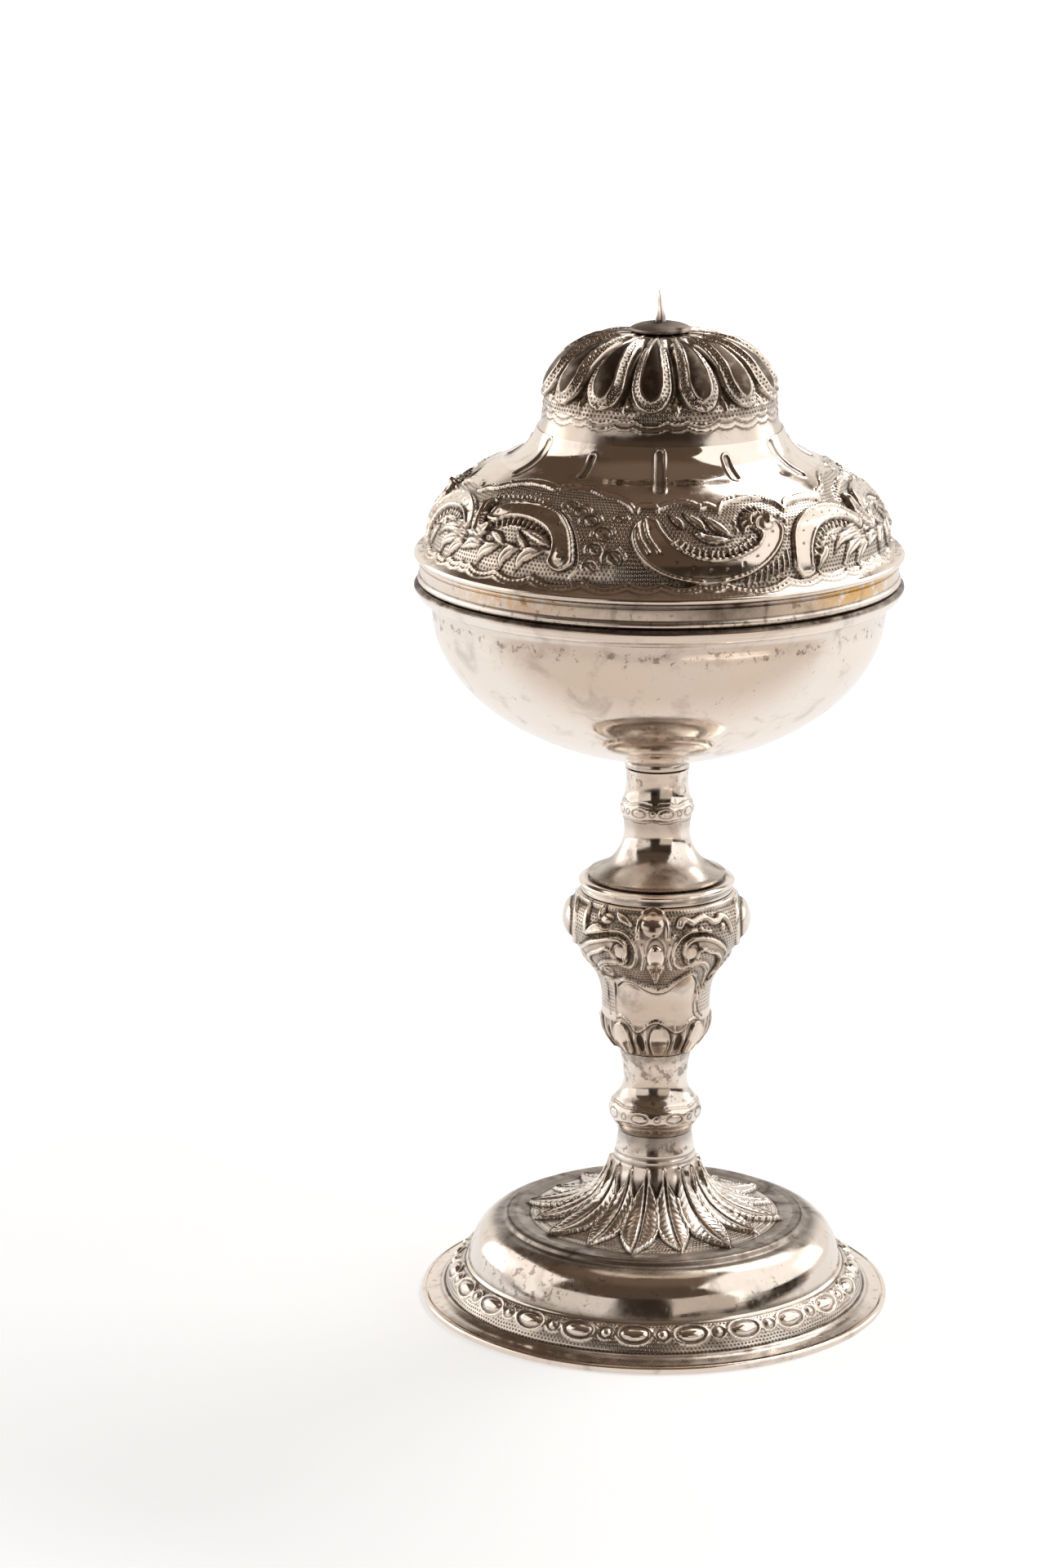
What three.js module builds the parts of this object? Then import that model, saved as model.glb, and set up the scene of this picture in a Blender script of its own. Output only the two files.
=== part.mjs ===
// Covered cup on a stemmed foot: a thin raised vessel with a lift-off lid.
// Millimetres, +Z up, axis of the cup on Z, resting face at Z = 0.
// Heights are stacked from the floor up, and radii grow from the foot, the stem and the mouth.

import * as THREE from 'three';

// Clearances
const SEAM = 0.3;                 // between pieces that butt or seat on each other
const ROD_CLEARANCE = 0.3;        // round the tie rod in every hole it passes
const BEZEL_CLEARANCE = 0.4;      // between the lid's inner ring and the cup wall

const SHEET = 0.9;                // thickness of the raised sheet

// Foot
const FOOT_RADIUS = 56;           // standing edge
const FOOT_HEIGHT = 41.3;         // floor to the upper end of the trumpet
const RIM_HEIGHT = 1.7;
const RIM_WALL = 1.0;             // upright strip at the very edge
const RIM_LEDGE = 2.6;            // width of the standing face
const RIM_LEDGE_HEIGHT = 0.6;
const RIM_CHAMFER = 0.4;
const LEAF_COUNT = 16;
const LEAF_FURROW = 0.9;          // depth of the hollow between two leaves
const OVAL_COUNT = 23;            // bosses in the chased band
const OVAL_PHASE = -0.122;        // radians from the front to the nearest boss
const OVAL_RISE = 0.8;
const OVAL_HALF_HEIGHT = 2.7;

// Tie rod and its fastening inside the foot
const ROD_RADIUS = 2.0;
const ROD_TAIL = 2.4;             // how far the rod stands out below its nut
const NUT_FLAT = 4.0;             // half the width across flats
const NUT_HEIGHT = 3.5;
const WASHER_RADIUS = 9.6;
const WASHER_HEIGHT = 27.4;       // floor to the underside of the washer, where the trumpet holds it
const WASHER_THICKNESS = 1.0;

// Stem, from the foot upward
const LOWER_KNOP_HEIGHT = 19.9;
const LOWER_KNOP_RADIUS = 11.1;
const VASE_HEIGHT = 38.9;
const VASE_RADIUS = 22.3;
const PETAL_COUNT = 8;
const PETAL_FURROW = 0.9;
const BOSS_COUNT = 4;
const BOSS_HALF_ANGLE = 0.17;     // radians, half the width of a cabochon with its frame
const BOSS_HALF_HEIGHT = 4.2;
const BOSS_RISE = 1.1;
const PLATE_HEIGHT = 2.8;
const PLATE_RADIUS = 18.5;
const PLATE_ROLL = 1.4;           // height of its rolled edge
const PLATE_INSET = 0.6;          // from the rolled edge in to the skirt
const STEM_HEIGHT = 25.4;
const STEM_FOOT_RADIUS = 16.3;
const STEM_LIFT = 0.9;            // the upper stem's thin edge stands this much above its seat
const COLLAR_HEIGHT = 1.8;
const COLLAR_RADIUS = 7.7;
const SPIGOT_RADIUS = 6.0;
const SPIGOT_LENGTH = 3.7;

// Cup
const MOUTH_RADIUS = 54.6;        // outside of the upright mouth
const MOUTH_HEIGHT = 2.0;
const FLARE_HEIGHT = 4.0;         // between the bowl and the upright mouth
const FLARE_WIDTH = 1.7;
const BOWL_DEPTH = 36.4;          // underside to the height where the wall turns upright
const BOWL_FULLNESS = 1.1;        // exponent: over 1 pulls the underside in
const LIP_WIDTH = 2.4;            // the moulded wire stands out this far from the mouth
const LIP_HEIGHT = 3.5;
const LIP_RISE = 0.2;             // the wire's top above the sheet

// Lid
const LID_HEIGHT = 52.1;          // underside of the flange to the top of the crown
const BAND_INSET = 1.2;           // of the upright band, in from the edge of the lip
const BAND_HEIGHT = 5.2;
const BAND_WALL = 0.9;
const BAND_BEAD = 0.35;           // how far the lower bead stands out of the band
const BEZEL_DEPTH = 5.9;          // how far the inner ring hangs below the band
const BEZEL_WALL = 0.8;
const BEZEL_FLANGE = 1.0;
const LOBE_COUNT = 14;
const LOBE_FURROW = 1.5;          // depth of the furrow between two lobes
const LOBE_PHASE = -0.108;        // radians from the front to the nearest lobe crest
const SCROLL_REPEATS = 3;         // times the chased shoulder repeats its three scrolls
const SCROLL_RISE = 0.9;          // scrolls above their sunk ground
const GROUND_DEPTH = 0.4;

// Finial
const DISC_RADIUS = 7.0;
const DISC_HEIGHT = 2.2;
const TANG_HEIGHT = 6.9;
const TANG_RADIUS = 1.3;
const TANG_HALF_WIDTH = 1.2;
const TANG_LEAN = 0.5;
const FINIAL_WASHER_RADIUS = 3.6;
const FINIAL_WASHER_THICKNESS = 0.8;
const RIVET_RADIUS = 2.5;
const RIVET_HEIGHT = 1.1;

// Heights, each resting on the one before
const LOWER_KNOP_BOTTOM = FOOT_HEIGHT + SEAM;
const VASE_BOTTOM = LOWER_KNOP_BOTTOM + LOWER_KNOP_HEIGHT + SEAM;
const VASE_TOP = VASE_BOTTOM + VASE_HEIGHT;
const PLATE_TOP = VASE_TOP + SEAM + PLATE_HEIGHT;
const STEM_BOTTOM = PLATE_TOP + SEAM + STEM_LIFT;
const STEM_TOP = STEM_BOTTOM + STEM_HEIGHT;
const COLLAR_BOTTOM = STEM_TOP + SEAM;
const COLLAR_TOP = COLLAR_BOTTOM + COLLAR_HEIGHT;
const BOWL_BOTTOM = COLLAR_TOP + SEAM;
const SHOULDER = BOWL_BOTTOM + BOWL_DEPTH;
const MOUTH_FOOT = SHOULDER + FLARE_HEIGHT;
const MOUTH_TOP = MOUTH_FOOT + MOUTH_HEIGHT;
const LIP_TOP = MOUTH_TOP + LIP_RISE;
const BAND_BOTTOM = LIP_TOP + SEAM;
const BAND_TOP = BAND_BOTTOM + BAND_HEIGHT;
const LID_BOTTOM = BAND_TOP + SEAM;
const LID_TOP = LID_BOTTOM + LID_HEIGHT;
const DISC_BOTTOM = LID_TOP + SEAM;
const BLADE_BOTTOM = DISC_BOTTOM + DISC_HEIGHT + SEAM;

// Radii that follow the mouth
const BOWL_RADIUS = MOUTH_RADIUS - FLARE_WIDTH;
const LIP_RADIUS = MOUTH_RADIUS + LIP_WIDTH;
const LID_RADIUS = LIP_RADIUS;
const BAND_RADIUS = LIP_RADIUS - BAND_INSET;

// Columns round the axis
const COLUMNS_LID = 4 * LOBE_COUNT;
const COLUMNS_FOOT = 3 * OVAL_COUNT;
const COLUMNS_VASE = 5 * PETAL_COUNT;
const COLUMNS_CUP = 32;
const COLUMNS_PLATE = 24;
const COLUMNS_STEM = 20;
const COLUMNS_SMALL = 18;
const COLUMNS_ROD = 12;

const FRONT = -Math.PI / 2;       // direction of the side that faces the viewer
const TURN = 2 * Math.PI;

const silver = { color: 0xc3b4a6, roughness: 0.27, metalness: 1.0 };
const warmSilver = { color: 0xb7a592, roughness: 0.34, metalness: 1.0 };
const darkSilver = { color: 0x6d625a, roughness: 0.5, metalness: 1.0 };
const gildedSilver = { color: 0xcbae84, roughness: 0.36, metalness: 1.0 };
const brass = { color: 0x9c8350, roughness: 0.45, metalness: 1.0 };

// An outline as [radius, height] points, from shares of a radius and of the way from bottom to top.
function shaped(radius, bottom, top, shares) {
  return shares.map(([across, up]) => [radius * across, bottom + (top - bottom) * up]);
}

// A smooth outline through the given [radius, height] stations.
function curve(stations, divisions) {
  const points = stations.map(([r, z]) => new THREE.Vector2(r, z));
  return new THREE.SplineCurve(points).getPoints(divisions);
}

// A straight-sided outline.
function straight(stations) {
  return stations.map(([r, z]) => new THREE.Vector2(r, z));
}

// Runs of an outline joined end to start, each sharing its first point with the one before.
function joined(runs) {
  return runs.flatMap((run, i) => (i === 0 ? run : run.slice(1)));
}

// Unit normal of an open outline at point i, on the right of the direction of travel.
function outlineNormal(outline, i) {
  const before = outline[Math.max(i - 1, 0)];
  const after = outline[Math.min(i + 1, outline.length - 1)];
  const run = after.clone().sub(before).normalize();
  return new THREE.Vector2(run.y, -run.x);
}

// The closed section of a sheet of even thickness whose outside face is the outline, travelled upward.
// Every point keeps the outside normal and the place of the outside face it belongs to.
function sheet(outline, thickness) {
  const outside = outline.map((point, i) => ({
    r: point.x, z: point.y, normal: outlineNormal(outline, i), face: point,
  }));
  const inside = outside.map((point) => ({
    ...point,
    r: Math.max(point.r - thickness * point.normal.x, 0),
    z: point.z - thickness * point.normal.y,
  }));
  return [...outside, ...inside.reverse()];
}

// The closed section of a solid ring or knob.
function solid(outline) {
  return outline.map((point) => ({
    r: point.x, z: point.y, normal: new THREE.Vector2(0, 0), face: point,
  }));
}

function signedArea(section) {
  return section.reduce((sum, point, i) => {
    const next = section[(i + 1) % section.length];
    return sum + point.r * next.z - next.r * point.z;
  }, 0) / 2;
}

// Turns a closed section round the axis. The relief moves each point along its normal, and the first
// column stands at the start angle from the front.
function turned(name, finish, columns, section, relief = () => 0, start = 0) {
  const loop = signedArea(section) > 0 ? section : [...section].reverse();
  const positions = [];
  const vertexOf = loop.map((point) => {
    const onAxis = point.r < 1e-6;
    const ids = [];
    for (let j = 0; j < columns; j += 1) {
      if (onAxis && j > 0) {
        ids.push(ids[0]);
        continue;
      }
      const angle = FRONT + start + (j / columns) * TURN;
      const lift = relief(point.face, angle - FRONT);
      const radius = onAxis ? 0 : point.r + lift * point.normal.x;
      ids.push(positions.length / 3);
      positions.push(radius * Math.cos(angle), radius * Math.sin(angle), point.z + lift * point.normal.y);
    }
    return ids;
  });
  const faces = [];
  loop.forEach((_, i) => {
    const here = vertexOf[i];
    const next = vertexOf[(i + 1) % loop.length];
    for (let j = 0; j < columns; j += 1) {
      const k = (j + 1) % columns;
      if (here[j] !== here[k]) faces.push(here[j], here[k], next[j]);
      if (next[j] !== next[k]) faces.push(next[j], here[k], next[k]);
    }
  });
  return meshFrom(name, finish, positions, faces);
}

function meshFrom(name, finish, positions, faces) {
  const geometry = new THREE.BufferGeometry();
  geometry.setAttribute('position', new THREE.Float32BufferAttribute(positions, 3));
  geometry.setIndex(faces);
  geometry.computeVertexNormals();
  const mesh = new THREE.Mesh(geometry, new THREE.MeshStandardMaterial(finish));
  mesh.name = name;
  return mesh;
}

// Position inside a repeat: 0 on its centre line, 1 on its border.
function acrossRepeat(angle, count, phase = 0) {
  const share = ((angle - phase) * count) / TURN;
  return 2 * Math.abs(share - Math.round(share));
}

// Rises smoothly from 0 to 1 between the two shares of the way from bottom to top.
function rising(height, bottom, top, [from, to]) {
  return THREE.MathUtils.smoothstep((height - bottom) / (top - bottom), from, to);
}

// Foot

function footRim() {
  const inner = FOOT_RADIUS - RIM_LEDGE;
  const wall = FOOT_RADIUS - RIM_WALL;
  return turned('foot_rim', silver, COLUMNS_FOOT, solid(straight([
    [inner, 0],
    [FOOT_RADIUS, 0],
    [FOOT_RADIUS, RIM_HEIGHT - RIM_CHAMFER],
    [FOOT_RADIUS - RIM_CHAMFER, RIM_HEIGHT],
    [wall, RIM_HEIGHT],
    [wall, RIM_LEDGE_HEIGHT],
    [inner, RIM_LEDGE_HEIGHT],
  ])), () => 0, OVAL_PHASE);
}

// Flat flange, chased band with its bosses, torus, plateau, and trumpet with its leaves.
function footShell() {
  const edge = [FOOT_RADIUS - RIM_WALL - SEAM, RIM_LEDGE_HEIGHT + SEAM + SHEET];
  const within = (shares) => shaped(FOOT_RADIUS, 0, FOOT_HEIGHT, shares);
  const flange = curve([edge, ...within([[0.936, 0.051], [0.9, 0.073]])], 1);
  const band = curve(within([[0.9, 0.073], [0.882, 0.121], [0.848, 0.177], [0.8, 0.215]]), 4);
  const torus = curve(within([
    [0.8, 0.215], [0.784, 0.3], [0.757, 0.378], [0.7125, 0.438], [0.657, 0.465],
  ]), 3);
  const plateau = curve(within([[0.657, 0.465], [0.593, 0.489], [0.532, 0.489]]), 1);
  const trumpet = curve(within([
    [0.532, 0.489], [0.411, 0.516], [0.311, 0.571], [0.243, 0.651],
    [0.205, 0.731], [0.18, 0.823], [0.155, 1],
  ]), 5);
  const leafFoot = [0.489, 0.524];
  const leafTip = [0.7, 0.79];
  const leaves = ({ y }, angle) => {
    const reach = rising(y, 0, FOOT_HEIGHT, leafFoot) * (1 - rising(y, 0, FOOT_HEIGHT, leafTip));
    return -LEAF_FURROW * reach * acrossRepeat(angle, LEAF_COUNT, Math.PI / LEAF_COUNT) ** 2;
  };
  const ovals = ({ y }, angle) => {
    const along = (y - 0.162 * FOOT_HEIGHT) / OVAL_HALF_HEIGHT;
    const across = 1.5 * acrossRepeat(angle, OVAL_COUNT, OVAL_PHASE);
    return OVAL_RISE * Math.max(1 - along ** 2, 0) * Math.max(1 - across ** 2, 0);
  };
  const relief = (point, angle) => leaves(point, angle) + ovals(point, angle);
  const outline = joined([flange, band, torus, plateau, trumpet]);
  return turned('foot_shell', silver, COLUMNS_FOOT, sheet(outline, SHEET), relief, OVAL_PHASE);
}

// Tie rod, nut and washer, and the stem

function tieRod() {
  const bottom = WASHER_HEIGHT - SEAM - NUT_HEIGHT - ROD_TAIL;
  const top = COLLAR_TOP - SHEET - ROD_CLEARANCE;
  return turned('tie_rod', darkSilver, COLUMNS_ROD, solid(straight([
    [0, bottom], [ROD_RADIUS, bottom], [ROD_RADIUS, top], [0, top],
  ])));
}

function tieNut() {
  const top = WASHER_HEIGHT - SEAM;
  const bore = ROD_RADIUS + ROD_CLEARANCE;
  const corner = NUT_FLAT / Math.cos(Math.PI / 6);
  const outline = straight([
    [bore, top - NUT_HEIGHT], [NUT_FLAT, top - NUT_HEIGHT], [NUT_FLAT, top], [bore, top],
  ]);
  const section = solid(outline).map((point) => ({
    ...point, normal: new THREE.Vector2(point.r > bore ? 1 : 0, 0),
  }));
  const hexagon = (_, angle) => (corner - NUT_FLAT) * (1 - acrossRepeat(angle, 6));
  return turned('tie_nut', brass, COLUMNS_ROD, section, hexagon);
}

function tieWasher() {
  const bore = ROD_RADIUS + ROD_CLEARANCE;
  const top = WASHER_HEIGHT + WASHER_THICKNESS;
  return turned('tie_washer', brass, COLUMNS_SMALL, solid(straight([
    [bore, WASHER_HEIGHT], [WASHER_RADIUS, WASHER_HEIGHT], [WASHER_RADIUS, top], [bore, top],
  ])));
}

function lowerKnop() {
  const outline = curve(shaped(LOWER_KNOP_RADIUS, LOWER_KNOP_BOTTOM, LOWER_KNOP_BOTTOM + LOWER_KNOP_HEIGHT, [
    [0.811, 0], [0.892, 0.111], [1, 0.236], [0.928, 0.367],
    [0.748, 0.487], [0.685, 0.673], [0.721, 0.864], [0.766, 1],
  ]), 7);
  return turned('lower_knop', silver, COLUMNS_STEM, sheet(outline, SHEET));
}

// Vase-shaped knop with petals round its calyx and cabochons round its belly.
function vaseKnop() {
  const outline = curve(shaped(VASE_RADIUS, VASE_BOTTOM, VASE_TOP, [
    [0.395, 0], [0.493, 0.067], [0.57, 0.147], [0.583, 0.226], [0.583, 0.319], [0.623, 0.447],
    [0.744, 0.555], [0.883, 0.656], [0.978, 0.751], [1, 0.833], [0.955, 0.928], [0.803, 1],
  ]), 10);
  const petalFoot = [0, 0.031];
  const petalTip = [0.16, 0.231];
  const bossCentre = VASE_BOTTOM + 0.635 * VASE_HEIGHT;
  const petals = ({ y }, angle) => {
    const reach = rising(y, VASE_BOTTOM, VASE_TOP, petalFoot)
      * (1 - rising(y, VASE_BOTTOM, VASE_TOP, petalTip));
    return -PETAL_FURROW * reach * acrossRepeat(angle, PETAL_COUNT) ** 2;
  };
  const cabochons = ({ y }, angle) => {
    const across = (acrossRepeat(angle, BOSS_COUNT) * Math.PI) / BOSS_COUNT / BOSS_HALF_ANGLE;
    const along = (y - bossCentre) / BOSS_HALF_HEIGHT;
    return BOSS_RISE * Math.sqrt(Math.max(1 - across ** 2 - along ** 2, 0));
  };
  const relief = (point, angle) => petals(point, angle) + cabochons(point, angle);
  return turned('vase_knop', warmSilver, COLUMNS_VASE, sheet(outline, SHEET), relief);
}

function knopPlate() {
  const bore = ROD_RADIUS + ROD_CLEARANCE;
  const skirt = PLATE_RADIUS - PLATE_INSET;
  const skirtBottom = VASE_TOP + SEAM;
  const halfRoll = PLATE_ROLL / 2;
  return turned('knop_plate', silver, COLUMNS_PLATE, solid(straight([
    [bore, PLATE_TOP],
    [PLATE_RADIUS - halfRoll / 2, PLATE_TOP],
    [PLATE_RADIUS, PLATE_TOP - halfRoll],
    [PLATE_RADIUS - halfRoll / 2, PLATE_TOP - PLATE_ROLL],
    [skirt, PLATE_TOP - PLATE_ROLL],
    [skirt, skirtBottom],
    [skirt - SHEET, skirtBottom],
    [skirt - SHEET, PLATE_TOP - SHEET],
    [bore, PLATE_TOP - SHEET],
  ])));
}

function upperStem() {
  const outline = curve(shaped(STEM_FOOT_RADIUS, STEM_BOTTOM, STEM_TOP, [
    [1, 0], [0.822, 0.043], [0.65, 0.13], [0.54, 0.252], [0.491, 0.386],
    [0.497, 0.52], [0.534, 0.618], [0.491, 0.724], [0.454, 0.85], [0.466, 1],
  ]), 8);
  return turned('upper_stem', silver, COLUMNS_STEM, sheet(outline, SHEET));
}

// Cup

// Outside of the bowl at the given share of the way from its bottom to its shoulder.
function bowlPoint(share) {
  const angle = (share * Math.PI) / 2;
  return new THREE.Vector2(
    BOWL_RADIUS * Math.sin(angle) ** BOWL_FULLNESS,
    SHOULDER - BOWL_DEPTH * Math.cos(angle),
  );
}

function cupCollar() {
  const bore = ROD_RADIUS + ROD_CLEARANCE;
  const spigotBottom = COLLAR_BOTTOM - SPIGOT_LENGTH;
  const boreTop = COLLAR_TOP - SHEET;
  return turned('cup_collar', warmSilver, COLUMNS_SMALL, solid(straight([
    [0, COLLAR_TOP],
    [COLLAR_RADIUS, COLLAR_TOP],
    [COLLAR_RADIUS, COLLAR_BOTTOM],
    [SPIGOT_RADIUS, COLLAR_BOTTOM],
    [SPIGOT_RADIUS, spigotBottom],
    [bore, spigotBottom],
    [bore, boreTop],
    [0, boreTop],
  ])));
}

function cupBowl() {
  const divisions = 7;
  const hollow = Array.from({ length: divisions + 1 }, (_, i) => bowlPoint(i / divisions));
  const mouth = straight([
    [BOWL_RADIUS + FLARE_WIDTH * 0.65, SHOULDER + FLARE_HEIGHT * 0.55],
    [MOUTH_RADIUS, MOUTH_FOOT],
    [MOUTH_RADIUS, MOUTH_TOP],
  ]);
  return turned('cup_bowl', silver, COLUMNS_CUP, sheet([...hollow, ...mouth], SHEET));
}

function cupLip() {
  const inner = MOUTH_RADIUS + SEAM;
  const across = (share) => inner + (LIP_RADIUS - inner) * share;
  return turned('cup_lip', silver, COLUMNS_CUP, solid([
    ...straight([[inner, LIP_TOP]]),
    ...curve([
      [across(0.52), LIP_TOP],
      [LIP_RADIUS, LIP_TOP - LIP_HEIGHT * 0.26],
      [across(0.71), LIP_TOP - LIP_HEIGHT * 0.63],
      [inner, LIP_TOP - LIP_HEIGHT],
    ], 4),
  ]));
}

// Lid

// Height of a scroll at a point of the shoulder: a half oval ridge that stands on its spring line, or
// hangs from it where its rise is negative.
function scroll(angle, share, { middle, halfSpan, spring, rise }) {
  const step = TURN / SCROLL_REPEATS;
  const offset = angle - middle - step * Math.round((angle - middle) / step);
  const up = (share - spring) / rise;
  const fromRidge = Math.abs(Math.hypot(offset / halfSpan, Math.max(up, 0)) - 1);
  return up < -0.3 ? 0 : Math.max(1 - (fromRidge / 0.4) ** 2, 0);
}

// Flange with its rolled edge, chased shoulder, plain bell and gadrooned crown, raised from one sheet.
function lidShell() {
  const hole = TANG_RADIUS + ROD_CLEARANCE;
  const within = (shares) => shaped(LID_RADIUS, LID_BOTTOM, LID_TOP, shares);
  const edge = straight(within([[1, 0.008], [0.996, 0.029]]));
  const flange = curve(within([[0.996, 0.029], [0.968, 0.054], [0.946, 0.084], [0.94, 0.127]]), 2);
  const shoulder = curve(within([
    [0.94, 0.127], [0.923, 0.182], [0.884, 0.253], [0.828, 0.326], [0.749, 0.382], [0.647, 0.436],
  ]), 6);
  const bell = curve(within([
    [0.647, 0.436], [0.568, 0.484], [0.519, 0.551], [0.493, 0.622], [0.481, 0.672],
  ]), 2);
  const crown = curve(within([
    [0.481, 0.672], [0.479, 0.741], [0.458, 0.825], [0.402, 0.906], [0.309, 0.967], [0.14, 1],
  ]), 5);
  const top = [new THREE.Vector2(LID_RADIUS * 0.14, LID_TOP), new THREE.Vector2(hole, LID_TOP)];
  const lobeFoot = [0.685, 0.74];
  const eye = LID_RADIUS * 0.07;
  const lobeHead = LID_RADIUS * 0.263;
  const lobes = ({ x, y }, angle) => {
    const reach = rising(y, LID_BOTTOM, LID_TOP, lobeFoot) * THREE.MathUtils.smoothstep(x, eye, lobeHead);
    return -LOBE_FURROW * reach * acrossRepeat(angle, LOBE_COUNT, LOBE_PHASE) ** 2;
  };
  const scrolls = [
    { middle: -0.66, halfSpan: 0.24, spring: 0.1, rise: 0.22 },
    { middle: 0.2, halfSpan: 0.32, spring: 0.3, rise: -0.19 },
    { middle: 0.83, halfSpan: 0.22, spring: 0.1, rise: 0.2 },
  ];
  const chasing = ({ x, y }, angle) => {
    const share = (y - LID_BOTTOM) / LID_HEIGHT;
    const ground = THREE.MathUtils.smoothstep(share, 0.05, 0.09) * (1 - THREE.MathUtils.smoothstep(share, 0.35, 0.43));
    const raised = Math.max(...scrolls.map((each) => scroll(angle, share, each)));
    return x > LID_RADIUS * 0.5 ? ground * (SCROLL_RISE * raised - GROUND_DEPTH) : 0;
  };
  const relief = (point, angle) => lobes(point, angle) + chasing(point, angle);
  const outline = joined([edge, flange, shoulder, bell, crown, top]);
  return turned('lid_shell', warmSilver, COLUMNS_LID, sheet(outline, SHEET), relief);
}

function lidBand() {
  const inner = BAND_RADIUS - BAND_WALL;
  return turned('lid_band', gildedSilver, COLUMNS_CUP, solid(straight([
    [inner, BAND_BOTTOM],
    [BAND_RADIUS, BAND_BOTTOM],
    [BAND_RADIUS + BAND_BEAD, BAND_BOTTOM + BAND_HEIGHT * 0.1],
    [BAND_RADIUS + BAND_BEAD, BAND_BOTTOM + BAND_HEIGHT * 0.2],
    [BAND_RADIUS, BAND_BOTTOM + BAND_HEIGHT * 0.3],
    [BAND_RADIUS, BAND_TOP],
    [inner, BAND_TOP],
  ])));
}

function lidBezel() {
  const outer = BOWL_RADIUS - SHEET - BEZEL_CLEARANCE;
  const inner = outer - BEZEL_WALL;
  const collar = BAND_RADIUS - BAND_WALL - SEAM;
  const bottom = BAND_BOTTOM - BEZEL_DEPTH;
  return turned('lid_bezel', silver, COLUMNS_CUP, solid(straight([
    [inner, bottom],
    [outer, bottom],
    [outer, BAND_TOP - BEZEL_FLANGE],
    [collar, BAND_TOP - BEZEL_FLANGE],
    [collar, BAND_TOP],
    [inner, BAND_TOP],
  ])));
}

// Finial

function finialDisc() {
  const bore = TANG_RADIUS + ROD_CLEARANCE;
  return turned('finial_disc', darkSilver, COLUMNS_SMALL, solid([
    ...straight([[bore, DISC_BOTTOM], [DISC_RADIUS * 0.94, DISC_BOTTOM]]),
    ...curve([
      [DISC_RADIUS, DISC_BOTTOM + DISC_HEIGHT * 0.23],
      [DISC_RADIUS * 0.74, DISC_BOTTOM + DISC_HEIGHT * 0.64],
      [bore, DISC_BOTTOM + DISC_HEIGHT],
    ], 4),
  ]));
}

function finialWasher() {
  const bore = TANG_RADIUS + ROD_CLEARANCE;
  const top = LID_TOP - SHEET - SEAM;
  const bottom = top - FINIAL_WASHER_THICKNESS;
  return turned('finial_washer', darkSilver, COLUMNS_SMALL, solid(straight([
    [bore, bottom], [FINIAL_WASHER_RADIUS, bottom], [FINIAL_WASHER_RADIUS, top], [bore, top],
  ])));
}

// Tang of the lost finial: rivet head, round shank and a creased blade that narrows to the tip.
function finialTang() {
  const headTop = LID_TOP - SHEET - SEAM - FINIAL_WASHER_THICKNESS - SEAM;
  const sides = 8;
  const round = (radius, z) => Array.from({ length: sides }, (_, i) => {
    const angle = FRONT + (i / sides) * TURN;
    return [radius * Math.cos(angle), radius * Math.sin(angle), z];
  });
  const creased = (share) => {
    const width = TANG_HALF_WIDTH * (1 - 0.78 * share ** 0.8);
    const lean = -TANG_LEAN * share ** 2;
    return round(1, BLADE_BOTTOM + TANG_HEIGHT * share).map(([x, y, z], i) => {
      const onCrease = i === 0;
      const shift = onCrease ? 0.35 * width : 0;
      const depth = width * (onCrease ? 1 : 0.64);
      return [lean + width * x + shift, depth * y, z];
    });
  };
  const rings = [
    round(RIVET_RADIUS * 0.7, headTop - RIVET_HEIGHT),
    round(RIVET_RADIUS, headTop - RIVET_HEIGHT * 0.5),
    round(RIVET_RADIUS, headTop),
    round(TANG_RADIUS, headTop),
    round(TANG_RADIUS, BLADE_BOTTOM - SEAM * 0.5),
    ...[0, 0.25, 0.5, 0.75, 1].map(creased),
  ];
  const positions = rings.flat(2);
  const faces = [];
  for (let i = 0; i + 1 < rings.length; i += 1) {
    for (let j = 0; j < sides; j += 1) {
      const a = i * sides + j;
      const b = i * sides + ((j + 1) % sides);
      faces.push(a, b, b + sides, a, b + sides, a + sides);
    }
  }
  const topRing = (rings.length - 1) * sides;
  for (let j = 1; j + 1 < sides; j += 1) {
    faces.push(0, j + 1, j);
    faces.push(topRing, topRing + j, topRing + j + 1);
  }
  return meshFrom('finial_tang', warmSilver, positions, faces);
}

const ciborium = new THREE.Group();
ciborium.name = 'ciborium';
ciborium.add(
  footRim(), footShell(), tieWasher(), tieNut(), tieRod(),
  lowerKnop(), vaseKnop(), knopPlate(), upperStem(),
  cupCollar(), cupBowl(), cupLip(),
  lidShell(), lidBand(), lidBezel(),
  finialDisc(), finialWasher(), finialTang(),
);

export default ciborium;
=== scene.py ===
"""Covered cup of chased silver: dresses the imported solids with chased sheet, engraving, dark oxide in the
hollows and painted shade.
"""

import math

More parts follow.
